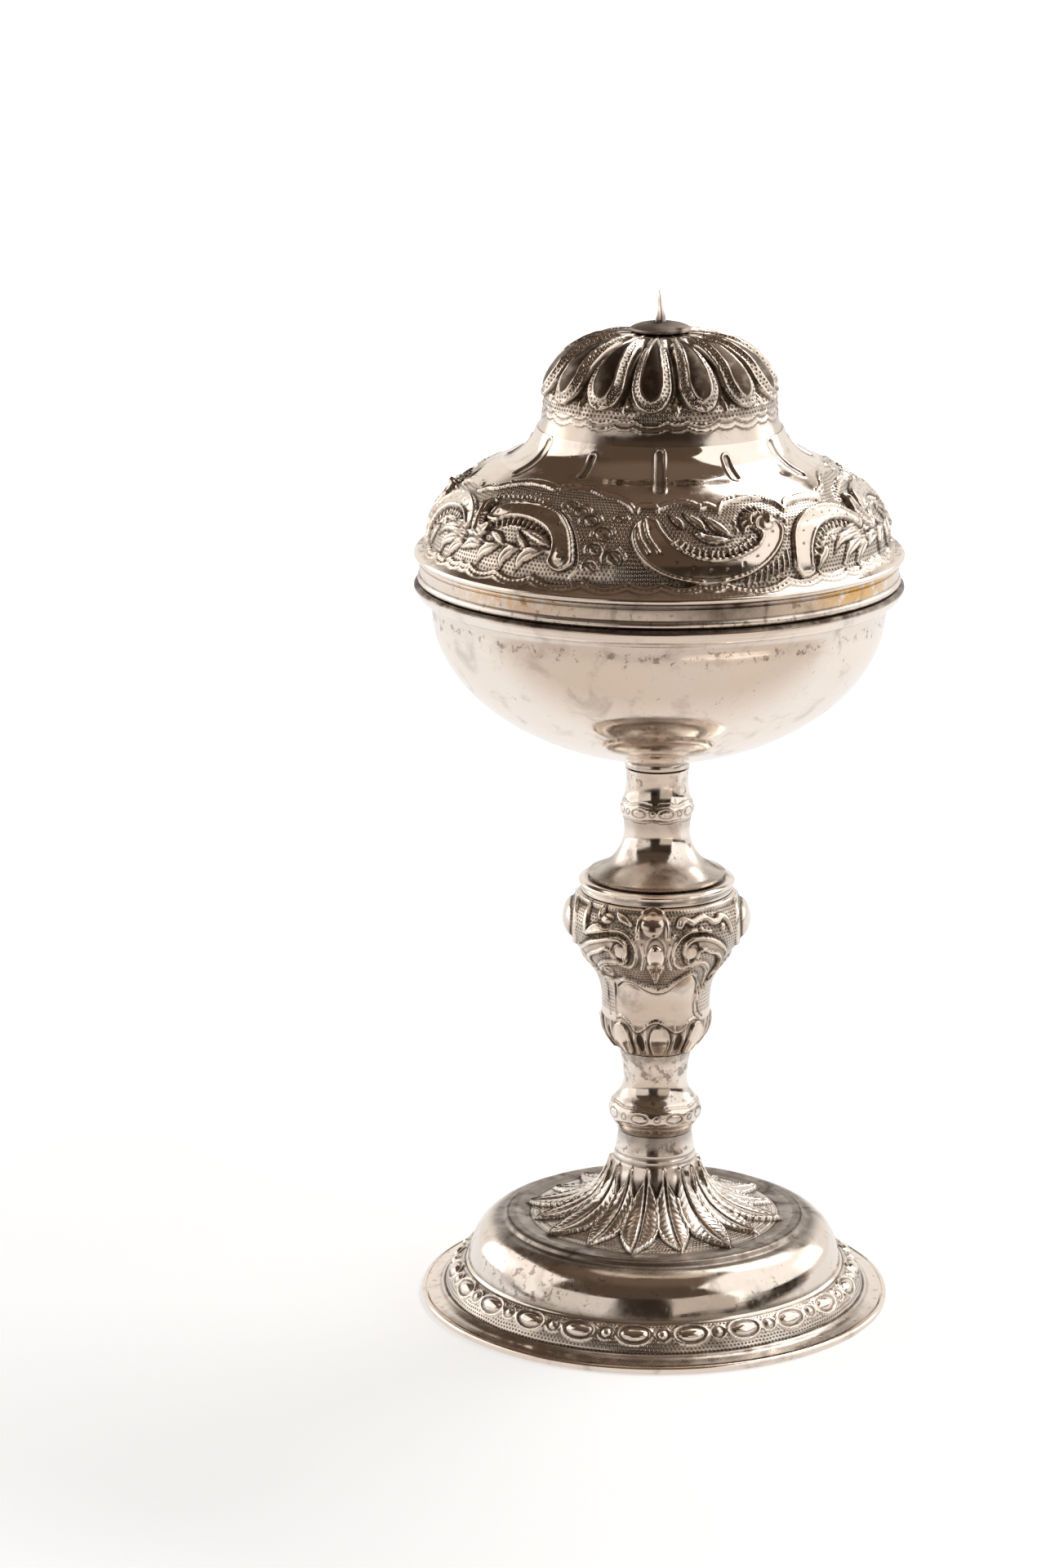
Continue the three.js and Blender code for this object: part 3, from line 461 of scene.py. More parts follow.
    def bloom(self, theta, down, across, along):
        """A rounded petal under a raised arc, with a cut stroke."""
        self.drop(theta, down, across, along, 0.5, 24)
        scale = np.interp(down, self.down, self.radius) * DEGREE
        turns = np.linspace(-100, 84, 8) * DEGREE
        arc = [(theta + (across + 0.7) * math.sin(q) / scale, down - (along + 0.7) * math.cos(q))
               for q in turns]
        self.cord(arc, 0.5, 0.4)
        lean = 0.4 * across / scale
        self.groove([(theta - lean, down - 0.5 * along), (theta + lean, down + 0.5 * along)], 0.45, 0.3)

    def teeth(self, points, count, length, width, height):
        """Small wedges in a row square to a line, dark between them; with a length below 0 they stand on its
        other side and have no dark between them."""
        path = smooth_path(points, 0.3)
        for k in range(count):
            i = min(int((k + 0.5) / count * (len(path) - 1)), len(path) - 2)
            (x, y), (x1, y1) = path[i], path[i + 1]
            scale = np.interp(y, self.down, self.radius) * DEGREE
            dx, dy = (x1 - x) * scale, y1 - y
            reach = length / (math.hypot(dx, dy) or 1)
            self.cord([(x, y), (x - dy * reach / scale, y + dx * reach)], width, height, 0.7)
        if length > 0:
            for window, d, _, _ in self.near(path, length):
                low = self.height[window] < 0.22
                at_least(self.dark, window, 0.6 * cut(d - length / 2, length / 2) * low)

    def all_round(self, values):
        """The repeat set side by side until it goes all the way round."""
        return np.tile(values, (1, self.repeats))


# Meshes

def linked(name, data):
    """A new object in the scene."""
    obj = bpy.data.objects.new(name, data)
    bpy.context.scene.collection.objects.link(obj)
    return obj


def store(mesh, key, values):
    """Stores a value for each vertex under a name."""
    layer = mesh.attributes.new(key, "FLOAT", "POINT")
    layer.data.foreach_set("value", np.ascontiguousarray(values, np.float32).ravel())


def vertices_of(mesh):
    """Places of a mesh's vertices."""
    co = np.zeros(len(mesh.vertices) * 3)
    mesh.vertices.foreach_get("co", co)
    return co.reshape(-1, 3)


def enclosed(mesh):
    """Signed volume that a mesh encloses."""
    mesh.calc_loop_triangles()
    tri = np.zeros(len(mesh.loop_triangles) * 3, np.int32)
    mesh.loop_triangles.foreach_get("vertices", tri)
    a, b, c = vertices_of(mesh)[tri.reshape(-1, 3)].transpose(1, 0, 2)
    return np.einsum("ij,ij->", a, np.cross(b, c)) / 6


def dye(mesh, paint=None):
    """Stores the tones of the paint, worked out from each vertex's angle in degrees, radius and height."""
    x, y, z = vertices_of(mesh).T / MM
    found = paint(np.degrees(np.arctan2(x, -y)), np.hypot(x, y), z) if paint else {}
    for key in ("patina_and_shade", "punched", "gilding", "blotch"):
        store(mesh, key, np.broadcast_to(np.clip(found.get(key, 0.0), 0, 1), x.shape))


def finish_mesh(mesh, crease, paint):
    """Turns the faces outwards, smooths them up to the crease angle in degrees and paints them."""
    if enclosed(mesh) < 0:
        mesh.flip_normals()
    mesh.shade_smooth()
    mesh.set_sharp_from_angle(angle=crease * DEGREE)
    dye(mesh, paint)


def outward(outline):
    """Unit normals of an outline travelled down the outside of a piece."""
    step = np.gradient(outline, axis=0)
    step /= np.hypot(step[:, 0], step[:, 1])[:, None] + 1e-12
    return np.stack([-step[:, 1], step[:, 0]], axis=1)


def mesh_object(name, points, quads, material, sharp_rows, columns):
    """A smooth closed mesh with rows of sharp edges, its faces turned outwards."""
    a, b, c, d = (points[quads[:, i]] for i in range(4))
    volume = np.einsum("ij,ij->", a, np.cross(b, c)) + np.einsum("ij,ij->", a, np.cross(c, d))
    if volume < 0:
        quads = quads[:, ::-1]
    mesh = bpy.data.meshes.new(name)
    mesh.vertices.add(len(points))
    mesh.vertices.foreach_set("co", points.astype(np.float32).ravel())
    mesh.loops.add(quads.size)
    mesh.loops.foreach_set("vertex_index", quads.astype(np.int32).ravel())
    mesh.polygons.add(len(quads))
    mesh.polygons.foreach_set("loop_start", np.arange(0, quads.size, 4, dtype=np.int32))
    mesh.update(calc_edges=True)
    mesh.validate()
    mesh.shade_smooth()
    ends = np.zeros(len(mesh.edges) * 2, np.int32)
    mesh.edges.foreach_get("vertices", ends)
    row = ends.reshape(-1, 2) // columns
    mark = mesh.attributes.new("sharp_edge", "BOOLEAN", "EDGE")
    mark.data.foreach_set("value", (row[:, 0] == row[:, 1]) & np.isin(row[:, 0], sharp_rows))
    mesh.materials.append(material)
    return linked(name, mesh)


def chased_sheet(name, chasing, material, wall, skip=4, hollow_darkening=1.0):
    """Turns a chased drawing into a closed sheet with an inside wall that follows the chasing."""
    outline = chasing.outline
    height = chasing.all_round(chasing.height)
    rows, columns = height.shape
    normal = outward(outline)
    inside = np.unique(np.r_[np.arange(0, rows, skip), rows - 1])[::-1]
    back = blurred(height, 3)[inside] - wall
    outer = outline[:, :, None] + height[:, None] * normal[:, :, None]
    inner = outline[inside, :, None] + back[:, None] * normal[inside, :, None]
    inner[:, 0] = np.maximum(inner[:, 0], 0.3)
    radius, level = np.vstack([outer, inner]).transpose(1, 0, 2)
    angle = (chasing.start + 360 * np.arange(columns) / columns) * DEGREE
    points = np.stack([radius * np.sin(angle), -radius * np.cos(angle), level], axis=-1).reshape(-1, 3) * MM
    total = len(radius)
    i, j = np.meshgrid(np.arange(total), np.arange(columns), indexing="ij")
    k, m = (i + 1) % total, (j + 1) % columns
    quads = np.stack([i * columns + j, i * columns + m, k * columns + m, k * columns + j], -1).reshape(-1, 4)
    obj = mesh_object(name, points, quads, material, [0, rows - 1, rows, total - 1], columns)
    # Hollows are darkened for two causes: oxide that the silver has there, and painted shade in the recesses.
    hollow = blurred(height, 10) - height
    tones = {
        "patina_and_shade": (np.clip(chasing.all_round(chasing.dark) + hollow_darkening * (1.6 * hollow), 0, 1), 0.35),
        "punched": (np.clip(chasing.all_round(chasing.punched), 0, 1), 0),
        "down": (chasing.all_round(chasing.s), 0),
        "blotch": (chasing.all_round(chasing.blotch), 0),
    }
    for key, (shown, hidden) in tones.items():
        store(obj.data, key, np.vstack([shown, np.full((len(inside), columns), hidden)]))
    return obj


# Nodes

class Nodes:
    """Adds nodes to a tree. An input takes a plain value or the output of another node."""

    def __init__(self, tree):
        self.tree = tree

    def node(self, kind, inputs=None, **settings):
        """A node with its settings made and its inputs filled in, by name or number."""
        made = self.tree.nodes.new(kind)
        for key, value in settings.items():
            setattr(made, key, value)
        for key, value in (inputs or {}).items():
            if isinstance(value, bpy.types.NodeSocket):
                self.tree.links.new(value, made.inputs[key])
            elif value is not None:
                made.inputs[key].default_value = value
        return made

    def add(self, kind, inputs=None, output=0, **settings):
        """Adds a node as above and gives back one of its outputs."""
        return self.node(kind, inputs, **settings).outputs[output]

    def parts(self, vector):
        """The three parts of a vector."""
        return self.node("ShaderNodeSeparateXYZ", {0: vector}).outputs

    def math(self, operation, a, b=None, clamp=False):
        return self.add("ShaderNodeMath", {0: a, 1: b}, operation=operation, use_clamp=clamp)

    def plus(self, a, b, clamp=False):
        return self.math("ADD", a, b, clamp)

    def times(self, a, b, clamp=False):
        return self.math("MULTIPLY", a, b, clamp)

    def span(self, value, low, high, to_low=0.0, to_high=1.0):
        """Goes smoothly from to_low to to_high while the value goes from low to high."""
        return self.add("ShaderNodeMapRange", {"Value": value, "From Min": low, "From Max": high,
                                               "To Min": to_low, "To Max": to_high},
                        interpolation_type="SMOOTHSTEP")

    def mix(self, share, a, b):
        """Colour a, turning into b as the share goes from 0 to 1."""
        return self.add("ShaderNodeMix", {"Factor": share, 6: a, 7: b}, 2, data_type="RGBA")


def new_tree(name, **inputs):
    """An empty geometry tree with named inputs. Returns its nodes, its inputs and their identifiers."""
    tree = bpy.data.node_groups.new(name, "GeometryNodeTree")
    keys = {}
    for label, kind in inputs.items():
        socket = tree.interface.new_socket(label, in_out="INPUT", socket_type="NodeSocket" + kind)
        keys[label] = socket.identifier
    tree.interface.new_socket("Geometry", in_out="OUTPUT", socket_type="NodeSocketGeometry")
    return Nodes(tree), tree.nodes.new("NodeGroupInput").outputs, keys


def finish_tree(n, geometry, material):
    """Makes instances real, sets the material and sends the geometry out."""
    real = n.add("GeometryNodeRealizeInstances", {0: geometry})
    coated = n.add("GeometryNodeSetMaterial", {"Geometry": real, "Material": material})
    n.node("NodeGroupOutput", {0: coated})
    return n.tree


def turning_tree():
    """Turns a closed profile, a ring of points in the XZ plane, about the Z axis."""
    n, start, keys = new_tree("turned_on_the_lathe", Profile="Geometry", Points="Int", Columns="Int",
                              Material="Material")
    points, columns = start["Points"], start["Columns"]
    down = n.plus(points, 1.0)
    grid = n.add("GeometryNodeMeshGrid", {"Vertices X": n.plus(columns, 1.0), "Vertices Y": down}, "Mesh")
    index = n.add("GeometryNodeInputIndex")
    row = n.math("MODULO", n.math("MODULO", index, down), points)
    column = n.math("FLOOR", n.math("DIVIDE", n.plus(index, 0.25), down))
    here = n.add("GeometryNodeInputPosition")
    sample = n.add("GeometryNodeSampleIndex", {"Geometry": start["Profile"], "Value": here, "Index": row},
                   "Value", data_type="FLOAT_VECTOR")
    radius, _, level = n.parts(sample)
    turn = n.times(n.math("DIVIDE", column, columns), math.tau)
    place = n.add("ShaderNodeCombineXYZ", {0: n.times(radius, n.math("COSINE", turn)),
                                           1: n.times(radius, n.math("SINE", turn)), 2: level})
    moved = n.add("GeometryNodeSetPosition", {"Geometry": grid, "Position": place})
    merged = n.add("GeometryNodeMergeByDistance", {"Geometry": moved, "Distance": 1e-6})
    return finish_tree(n, merged, start["Material"]), keys


def ring_tree():
    """Sets domed oval bosses in a ring round the Z axis, leaning with the surface that carries them."""
    n, start, keys = new_tree("bosses_in_a_ring", Count="Int", Radius="Float", Level="Float", First="Float",
                              Lean="Float", Size="Vector", Facets="Int", Material="Material")
    count, radius, facets = start["Count"], start["Radius"], start["Facets"]
    turn = n.times(n.math("DIVIDE", n.add("GeometryNodeInputIndex"), count), math.tau)
    turn = n.plus(turn, start["First"])
    place = n.add("ShaderNodeCombineXYZ", {0: n.times(radius, n.math("SINE", turn)), 2: start["Level"],
                                           1: n.times(n.times(radius, n.math("COSINE", turn)), -1.0)})
    ring = n.add("GeometryNodeMeshLine", {"Count": count})
    moved = n.add("GeometryNodeSetPosition", {"Geometry": ring, "Position": place})
    rings = n.times(facets, 0.5)
    boss = n.add("GeometryNodeMeshUVSphere", {"Radius": 1.0, "Segments": facets, "Rings": rings}, "Mesh")
    smooth = n.add("GeometryNodeSetShadeSmooth", {"Geometry": boss})
    spin = n.add("ShaderNodeCombineXYZ", {0: start["Lean"], 2: turn})
    rotation = n.add("FunctionNodeEulerToRotation", {0: spin})
    copies = n.add("GeometryNodeInstanceOnPoints", {"Points": moved, "Instance": smooth, "Rotation": rotation,
                                                    "Scale": start["Size"]})
    return finish_tree(n, copies, start["Material"]), keys


TREES = {}


def grow(name, tree_maker, values, seed_mesh=None):
    """Runs a tree on a seed mesh and keeps the plain mesh that comes out."""
    if tree_maker not in TREES:
        TREES[tree_maker] = tree_maker()
    tree, keys = TREES[tree_maker]
    seed = linked(name + "_seed", seed_mesh or bpy.data.meshes.new(name + "_seed"))
    grower = seed.modifiers.new("grow", "NODES")
    grower.node_group = tree
    for label, value in values.items():
        grower[keys[label]] = value
    evaluated = seed.evaluated_get(bpy.context.evaluated_depsgraph_get())
    mesh = bpy.data.meshes.new_from_object(evaluated)
    mesh.name = name
    seed.modifiers.remove(grower)
    bpy.data.objects.remove(seed)
    return linked(name, mesh)


def lathe(name, profile, material, columns, crease=32, paint=None):
    """A turned ring or cup from a closed profile in millimetres, through the turning tree."""
    seed = bpy.data.meshes.new(name + "_profile")
    points = [(r * MM, 0, z * MM) for r, z in profile]
    seed.from_pydata(points, [(i, (i + 1) % len(points)) for i in range(len(points))], [])
    obj = grow(name, turning_tree, {"Points": len(points), "Columns": columns, "Material": material}, seed)
    finish_mesh(obj.data, crease, paint)
    return obj


# Materials

class Finish(Nodes):
    """A node material under construction."""

    def __init__(self, name):
        self.material = bpy.data.materials.new(name)
        self.material.use_nodes = True
        super().__init__(self.material.node_tree)
        self.tree.nodes.clear()
        self.where = self.add("ShaderNodeTexCoord", output="Object")

    def noise(self, scale, detail, rough, stretch=None, distortion=0.0):
        where = self.where
        if stretch:
            where = self.add("ShaderNodeMapping", {"Vector": where, "Scale": stretch})
        return self.add("ShaderNodeTexNoise", {"Vector": where, "Scale": scale, "Detail": detail,
                                               "Roughness": rough, "Distortion": distortion}, "Fac")

    def layer(self, name):
        """A value stored on the mesh."""
        return self.add("ShaderNodeAttribute", output="Fac", attribute_name=name)

    def bump(self, height, depth, under=None):
        """Relief up to a depth in millimetres, on top of the relief under it."""
        return self.add("ShaderNodeBump", {"Strength": 1.0, "Distance": depth * MM, "Height": height,
                                           "Normal": under})

    def pits(self, around, pitch):
        """Punch marks in wavering rows: so many in a full turn, and one row every pitch millimetres."""
        x, y, _ = self.parts(self.where)
        turn = self.math("ARCTAN2", x, self.times(y, -1.0))
        wander = self.times(self.noise(200, 1, 0.5), 0.8)
        rows = self.plus(self.times(self.layer("down"), 1 / pitch), wander)
        share = self.plus(self.times(turn, around / math.tau), self.times(self.math("FLOOR", rows), 0.5))
        share = self.plus(share, self.times(wander, 0.5))
        across, along = (self.math("SUBTRACT", self.math("FRACT", v), 0.5) for v in (share, rows))
        near = self.plus(self.times(across, across), self.times(along, along))
        return self.times(self.span(near, 0.015, 0.13, 1.0, 0.0), self.layer("punched"))

    def close(self, colour, roughness, normal):
        """Ends the material as a metal."""
        metal = self.add("ShaderNodeBsdfPrincipled", {"Base Color": colour, "Roughness": roughness,
                                                      "Normal": normal, "Metallic": 1.0})
        self.node("ShaderNodeOutputMaterial", {0: metal})
        return self.material


def rgba(colour):
    return (*colour, 1.0)


def silver(name, base, tarnish_and_shade, gold, polish, stain, ripple, lines=0.0, punches=None, gilded=False):
    """Worn silver: broad tones, stains, polishing lines, a dark tone from the stored mask, which holds oxide
    in the hollows and painted shade and reflections, and traces of gilding.
    """
    f = Finish(name)
    mottle = f.noise(240, 6, 0.62)
    freckles = f.span(f.noise(900, 3, 0.55), 0.62, 0.75)
    stains = f.times(f.span(f.noise(120, 5, 0.6, distortion=0.6), 0.52, 0.72), stain)
    # The stored mask darkens the silver both for oxide in the hollows and for painted shade and reflections.
    tone = f.plus(f.times(f.layer("patina_and_shade"), f.span(mottle, 0.2, 0.7, 0.75, 1.1)), stains)
    tone = f.plus(tone, f.times(freckles, 0.12), clamp=True)
    warmer = rgba([c * k for c, k in zip(base, (1.0, 0.98, 0.95))])
    metal = f.mix(f.span(f.noise(38, 3, 0.5), 0.35, 0.65), rgba(base), warmer)
    if gilded:
        gilding = f.times(f.layer("gilding"), f.span(f.noise(300, 5, 0.65), 0.36, 0.5), clamp=True)
        metal = f.mix(gilding, metal, rgba(gold))
    ragged = f.plus(f.noise(430, 7, 0.68), f.times(f.layer("blotch"), 0.3))
    blotches = f.times(f.span(ragged, 0.70, 0.80), 0.62)
    colour = f.mix(f.math("MAXIMUM", tone, blotches), metal, rgba(tarnish_and_shade))
    rough = f.plus(f.times(tone, 0.34), f.span(mottle, 0.3, 0.7, polish - 0.04, polish + 0.05))
    normal = f.bump(f.noise(75, 2, 0.5), ripple)
    if lines:
        normal = f.bump(f.noise(1.0, 4, 0.6, stretch=(60, 60, 2600)), lines, normal)
    scratch = f.span(f.noise(1.0, 2, 0.5, stretch=(900, 900, 90), distortion=0.8), 0.64, 0.7)
    normal = f.bump(scratch, 0.004, normal)
    if punches:
        pits = f.pits(*punches)
        normal = f.bump(f.times(pits, -1.0), 0.13, normal)
        colour = f.mix(f.times(pits, 0.8), colour, rgba(tarnish_and_shade))
    return f.close(colour, rough, f.bump(mottle, 0.006, normal))


def plain_metal(name, base, dark, roughness):
    """Dull workshop metal of the hidden fittings."""
    f = Finish(name)
    mottle = f.noise(420, 5, 0.6)
    tone = f.span(f.noise(90, 4, 0.6), 0.35, 0.7, 0.0, 0.7)
    rough = f.span(mottle, 0.3, 0.7, roughness - 0.08, roughness + 0.1)
    normal = f.bump(f.noise(1.0, 3, 0.6, stretch=(300, 300, 2400)), 0.02)
    return f.close(f.mix(tone, rgba(base), rgba(dark)), rough, f.bump(mottle, 0.02, normal))


# Settings

def size(label, text, default, low, high):
    return bpy.props.FloatProperty(name=label, description=text, default=default * MM, min=low * MM,
                                   max=high * MM, unit="LENGTH", precision=4)


def tint(label, text, default):
    return bpy.props.FloatVectorProperty(name=label, description=text, default=default, min=0, max=1, size=3,
                                         subtype="COLOR")


class CupSizes(bpy.types.PropertyGroup):
    sheet: size("Sheet", "Thickness of the raised silver sheet", 0.9, 0.4, 1.5)
    ground: size("Sunk ground", "How far the punched ground of the lid lies under its surface", 0.45, 0, 1)
    furrow: size("Lobe furrow", "Depth of the furrow between two lobes of the crown", 1.7, 0, 2.5)
    leaf: size("Leaf relief", "How far the leaves stand above the trumpet of the foot", 0.75, 0, 1.5)
    boss: size("Boss relief", "Height of the bosses in the chased band of the foot", 0.8, 0, 2)


class CupColours(bpy.types.PropertyGroup):
    silver: tint("Silver", "Polished silver", (0.90, 0.815, 0.735))
    chased: tint("Chased silver", "Silver of the chased sheet", (0.84, 0.74, 0.645))
    # The dark colour paints oxide in the hollows and also painted shade and reflections.
    tarnish_and_shade: tint("Tarnish", "Dark patina in the hollows", (0.088, 0.060, 0.041))
    gold: tint("Gilding", "Worn gilding of the band", (0.80, 0.46, 0.14))
    brass: tint("Brass", "Nut and washer inside the foot", (0.50, 0.38, 0.18))
    steel: tint("Steel", "Tie rod inside the stem", (0.30, 0.28, 0.27))
    floor: tint("Floor", "Pale studio floor", (0.86, 0.86, 0.86))


def finishes():
    """The silver finishes of this cup, made once."""
    c = bpy.context.scene.cup_colours
    made = bpy.data.materials
    metals = {"plain": list(c.silver), "chased": list(c.chased), "tarnished": [k * 0.7 for k in c.chased]}
    for name, (metal, polish, stain, ripple, more) in FINISHES.items():
        if name not in made:
            silver(name, metals[metal], list(c.tarnish_and_shade), list(c.gold), polish, stain, ripple, **more)
    return made


def settle(obj, body, slot, *nodes):
    """Attaches a finished piece to its body and hides the solids it stands for. The slot is not used."""
    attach(obj, body)
    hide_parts(*nodes)


# Foot

def leaf_chasing(sizes):
    """Trumpet of the foot: sixteen serrated leaves under two engraved lines."""
    c = Chasing(smooth_path(TRUMPET, 0.36), -11.25 - 22.5, LEAF_PAIRS, 96)
    relief = sizes.leaf / MM
    stations = [7.4, 7.9, 9.2, 10.6, 12.5, 15, 20, 24, 26.5]
    upper = np.interp(c.s, stations, [0, 3.2, 4.6, 4.6, 8.2, 12.6, 13.6, 12.8, 11.0])
    lower = np.interp(c.s, stations, [0, 2.6, 3.8, 4.0, 7, 11.5, 12.5, 10.6, 8.6])
    grown = ease(c.s, 10, 13)
    cover = 0.0
    for middle, half, widest, tip, lift in ((33.75, upper, 11.0, 34.8, 1.0), (11.25, lower, 8.6, 33.0, 0.72)):
        half = np.where(c.s > 26.5, widest * np.clip((tip - c.s) / (tip - 26.5), 0, 1), half)
        across = np.abs(centred(c.a - middle, c.span)) * c.scale
        teeth = 1 - ((c.s - 0.5 * across) / 1.9) % 1.0
        edge = half * (0.95 + 0.08 * teeth * grown) * c.scale
        free = (half > 0.01) * (1 - cover)
        body = ease(edge - across, -0.05, 0.3) * free
        share = np.clip(across / np.maximum(edge, 0.1), 0, 1)
        veins = 0.5 + 0.5 * np.cos(math.tau * (c.s - 0.7 * across) / 1.7)
        c.height += relief * lift * body * (0.5 + 0.5 * np.sin(math.pi * np.clip(share * 0.86 + 0.08, 0, 1)))
        c.height += 0.09 * body * veins * grown * ease(share, 0.06, 0.3)
        c.height += 0.32 * ridge(edge - across - 0.22, 0.26) * free
        c.engrave(cut(across, 0.42) * ease(c.s, 9, 11) * (half > 0.3) * (1 - cover), 0.3, 0.7)
        c.dark += 0.3 * body * (1 - veins) * grown * (1 - ease(share, 0.75, 0.95))
        c.dark += 0.5 * body * between(c.s, 7.4, 8, 9.6, 11) * (share < 0.75)
        c.dark += 0.55 * cut(across - edge - 0.3, 0.35) * grown * free
        cover = cover + body
    ground = (1 - np.clip(cover, 0, 1)) * ease(c.s, 9, 12)
    outside = ease(c.outline[:, 0, None], 29.4, 30.2)
    c.height -= 0.25 * ground * (1 - ease(c.s, 34, 37))
    c.punched = 0.6 * ground * ease(c.s, 22, 26) * (1 - outside)
    c.dark += 0.6 * ground * (1 - ease(c.s, 20, 25)) + 0.1 * ground * ease(c.s, 22, 27)
    c.dark += 0.5 * outside + 0.42 * (1 - ease(c.s, 0.4, 3.6))
    c.blotch += 0.6 * (1 - ease(c.s, 3.6, 5.0))
    for level in (5.2, 6.7):
        c.engrave(ridge(c.s - level, 0.28), 0.14, 0.45)
    for radius in (29.8, 27.6):
        c.engrave(ridge(c.outline[:, 0, None] - radius, 0.25) * ground, 0.1, 0.35)
    return c


def band_chasing(sizes):
    """Chased band of the foot: framed ovals alternate with small ringed beads on a punched ground."""
    pitch = 360 / BAND_OVALS
    c = Chasing(smooth_path(CHASED_BAND, 0.3), -7 - pitch / 2, BAND_OVALS, 40)
    boss = sizes.boss / MM
    y = c.s - np.interp(48.1, c.outline[:, 0], c.down)
    x = centred(c.a + 7, pitch) * c.scale
    x2 = centred(c.a + 7 + pitch / 2, pitch) * c.scale
    frame_width, frame_height = 4.5, 2.75
    lens = np.hypot(x / frame_width, y / frame_height)
    small = np.hypot(x2 / 2.15, y / 1.9)
    oval = np.hypot(x / 3.1, y / 1.5)
    bead = np.hypot(x2 / 1.05, y / 1.1)
    c.height += boss * ridge(oval, 1) + 0.75 * boss * ridge(bead, 1)
    c.height += 0.38 * ridge((lens - 0.9) * frame_height, 0.3) + 0.3 * ridge((small - 0.88) * 1.9, 0.26)
    outside = np.minimum(lens, small)
    c.punched = np.clip((outside - 1) * 4, 0, 1) * between(c.s, 1.2, 1.8, 8.4, 9.0)
    bosses = (1 - np.clip((oval - 1) * 5, 0, 1)) + (1 - np.clip((bead - 1) * 5, 0, 1))
    c.dark += 0.55 * np.clip(1 - bosses, 0, 1) * (1 - c.punched) * (outside < 0.85) + 0.3 * c.punched
    for level, depth in ((0.9, 0.25), (c.down[-1] - 0.5, 0.2)):
        c.engrave(ridge(c.s - level, 0.3), depth, 0.6)
    return c


def plain_chasing(stations, step, columns, wobble=0.0):
    """An undecorated run of sheet, with the slight unevenness of hand raising."""
    c = Chasing(smooth_path(stations, step), -180, 1, columns)
    for k, (turns, phase) in enumerate(((5, 0.4), (9, 2.1), (14, 4.4), (23, 1.3))):
        c.height += wobble / (k + 1.5) * np.sin(turns * c.a * DEGREE + phase + 0.16 * c.s * (k + 1))
    return c


class CUP_OT_foot(bpy.types.Operator):
    """Foot rim, flange, chased band, torus and the trumpet with its leaves"""
    bl_idname = "cup.foot"
    bl_label = "Foot"

    def execute(self, context):
        sizes = context.scene.cup_sizes
        made = finishes()
        rim = [(53.4, 0.12), (53.6, 0), (55.8, 0), (56, 0.2), (56, 1.25), (55.75, 1.58), (55.45, 1.7),
               (55.2, 1.66), (55, 1.5), (55, 0.6), (53.4, 0.6)]
        settle(lathe("foot_edge_strip", rim, made["turned_silver"], 240), "base", "foot_rim", "foot_rim")
        torus = plain_chasing(PLATEAU + TORUS[1:], 0.3, 288, 0.03)
        # Painted reflection: the upward-facing plateau and top of the torus are painted darker, as the dim
        # room above would show in them. There is also a dark line at the plateau's edge, and the torus is
        # darker where it meets the band.
        torus.dark += 0.4 * ridge(torus.s - 2.1, 0.3) + 0.62 * (1 - ease(torus.s, 4.5, 8.5)) + 0.1
        torus.dark += 0.5 * ease(torus.s, torus.down[-1] - 1.2, torus.down[-1])
        torus.blotch += 0.30 + 0.34 * patch(torus.a, -42, 24) + 0.2 * patch(torus.a, 40, 12)
        flange = plain_chasing(FLANGE, 0.3, 240, 0.02)
        # The flange is darker in a line by the band and over the front.
        flange.dark += 0.4 * between(flange.s, 0.0, 0.6, 0.6, 1.2) + 0.5 * patch(flange.a, 12, 42)
        flange.blotch += 0.42
        for name, chasing, finish in (("foot_leaves", leaf_chasing(sizes), "leaf_silver"),
                                      ("foot_torus", torus, "polished_silver"),
                                      ("foot_chased_band", band_chasing(sizes), "band_silver"),
                                      ("foot_flange", flange, "turned_silver")):
            sheet = chased_sheet(name, chasing, made[finish], sizes.sheet / MM)
            settle(sheet, "base", "foot_shell", "foot_shell")
        return {"FINISHED"}


# Stem

def engraved_ring(c, middle, reach, phase, half_height, wide):
    """Eight ovals and eight circles round a ring knop, between double lines that arch over each oval."""
    y = c.s - middle
    small = wide * 0.36
    for first, width, height in ((phase, wide, half_height), (phase + 22.5, small, small)):
        x = centred(c.a - first, 45) * c.scale
        c.engrave(ridge((np.hypot(x / width, y / height) - 1) * min(width, height), 0.2), 0.12, 0.5)
    arch = reach + 0.5 * np.abs(np.cos(4 * (c.a - phase) * DEGREE))
    for gap in (0.0, 0.55):
        c.engrave(ridge(np.abs(y) - arch - gap, 0.18), 0.1, 0.42)


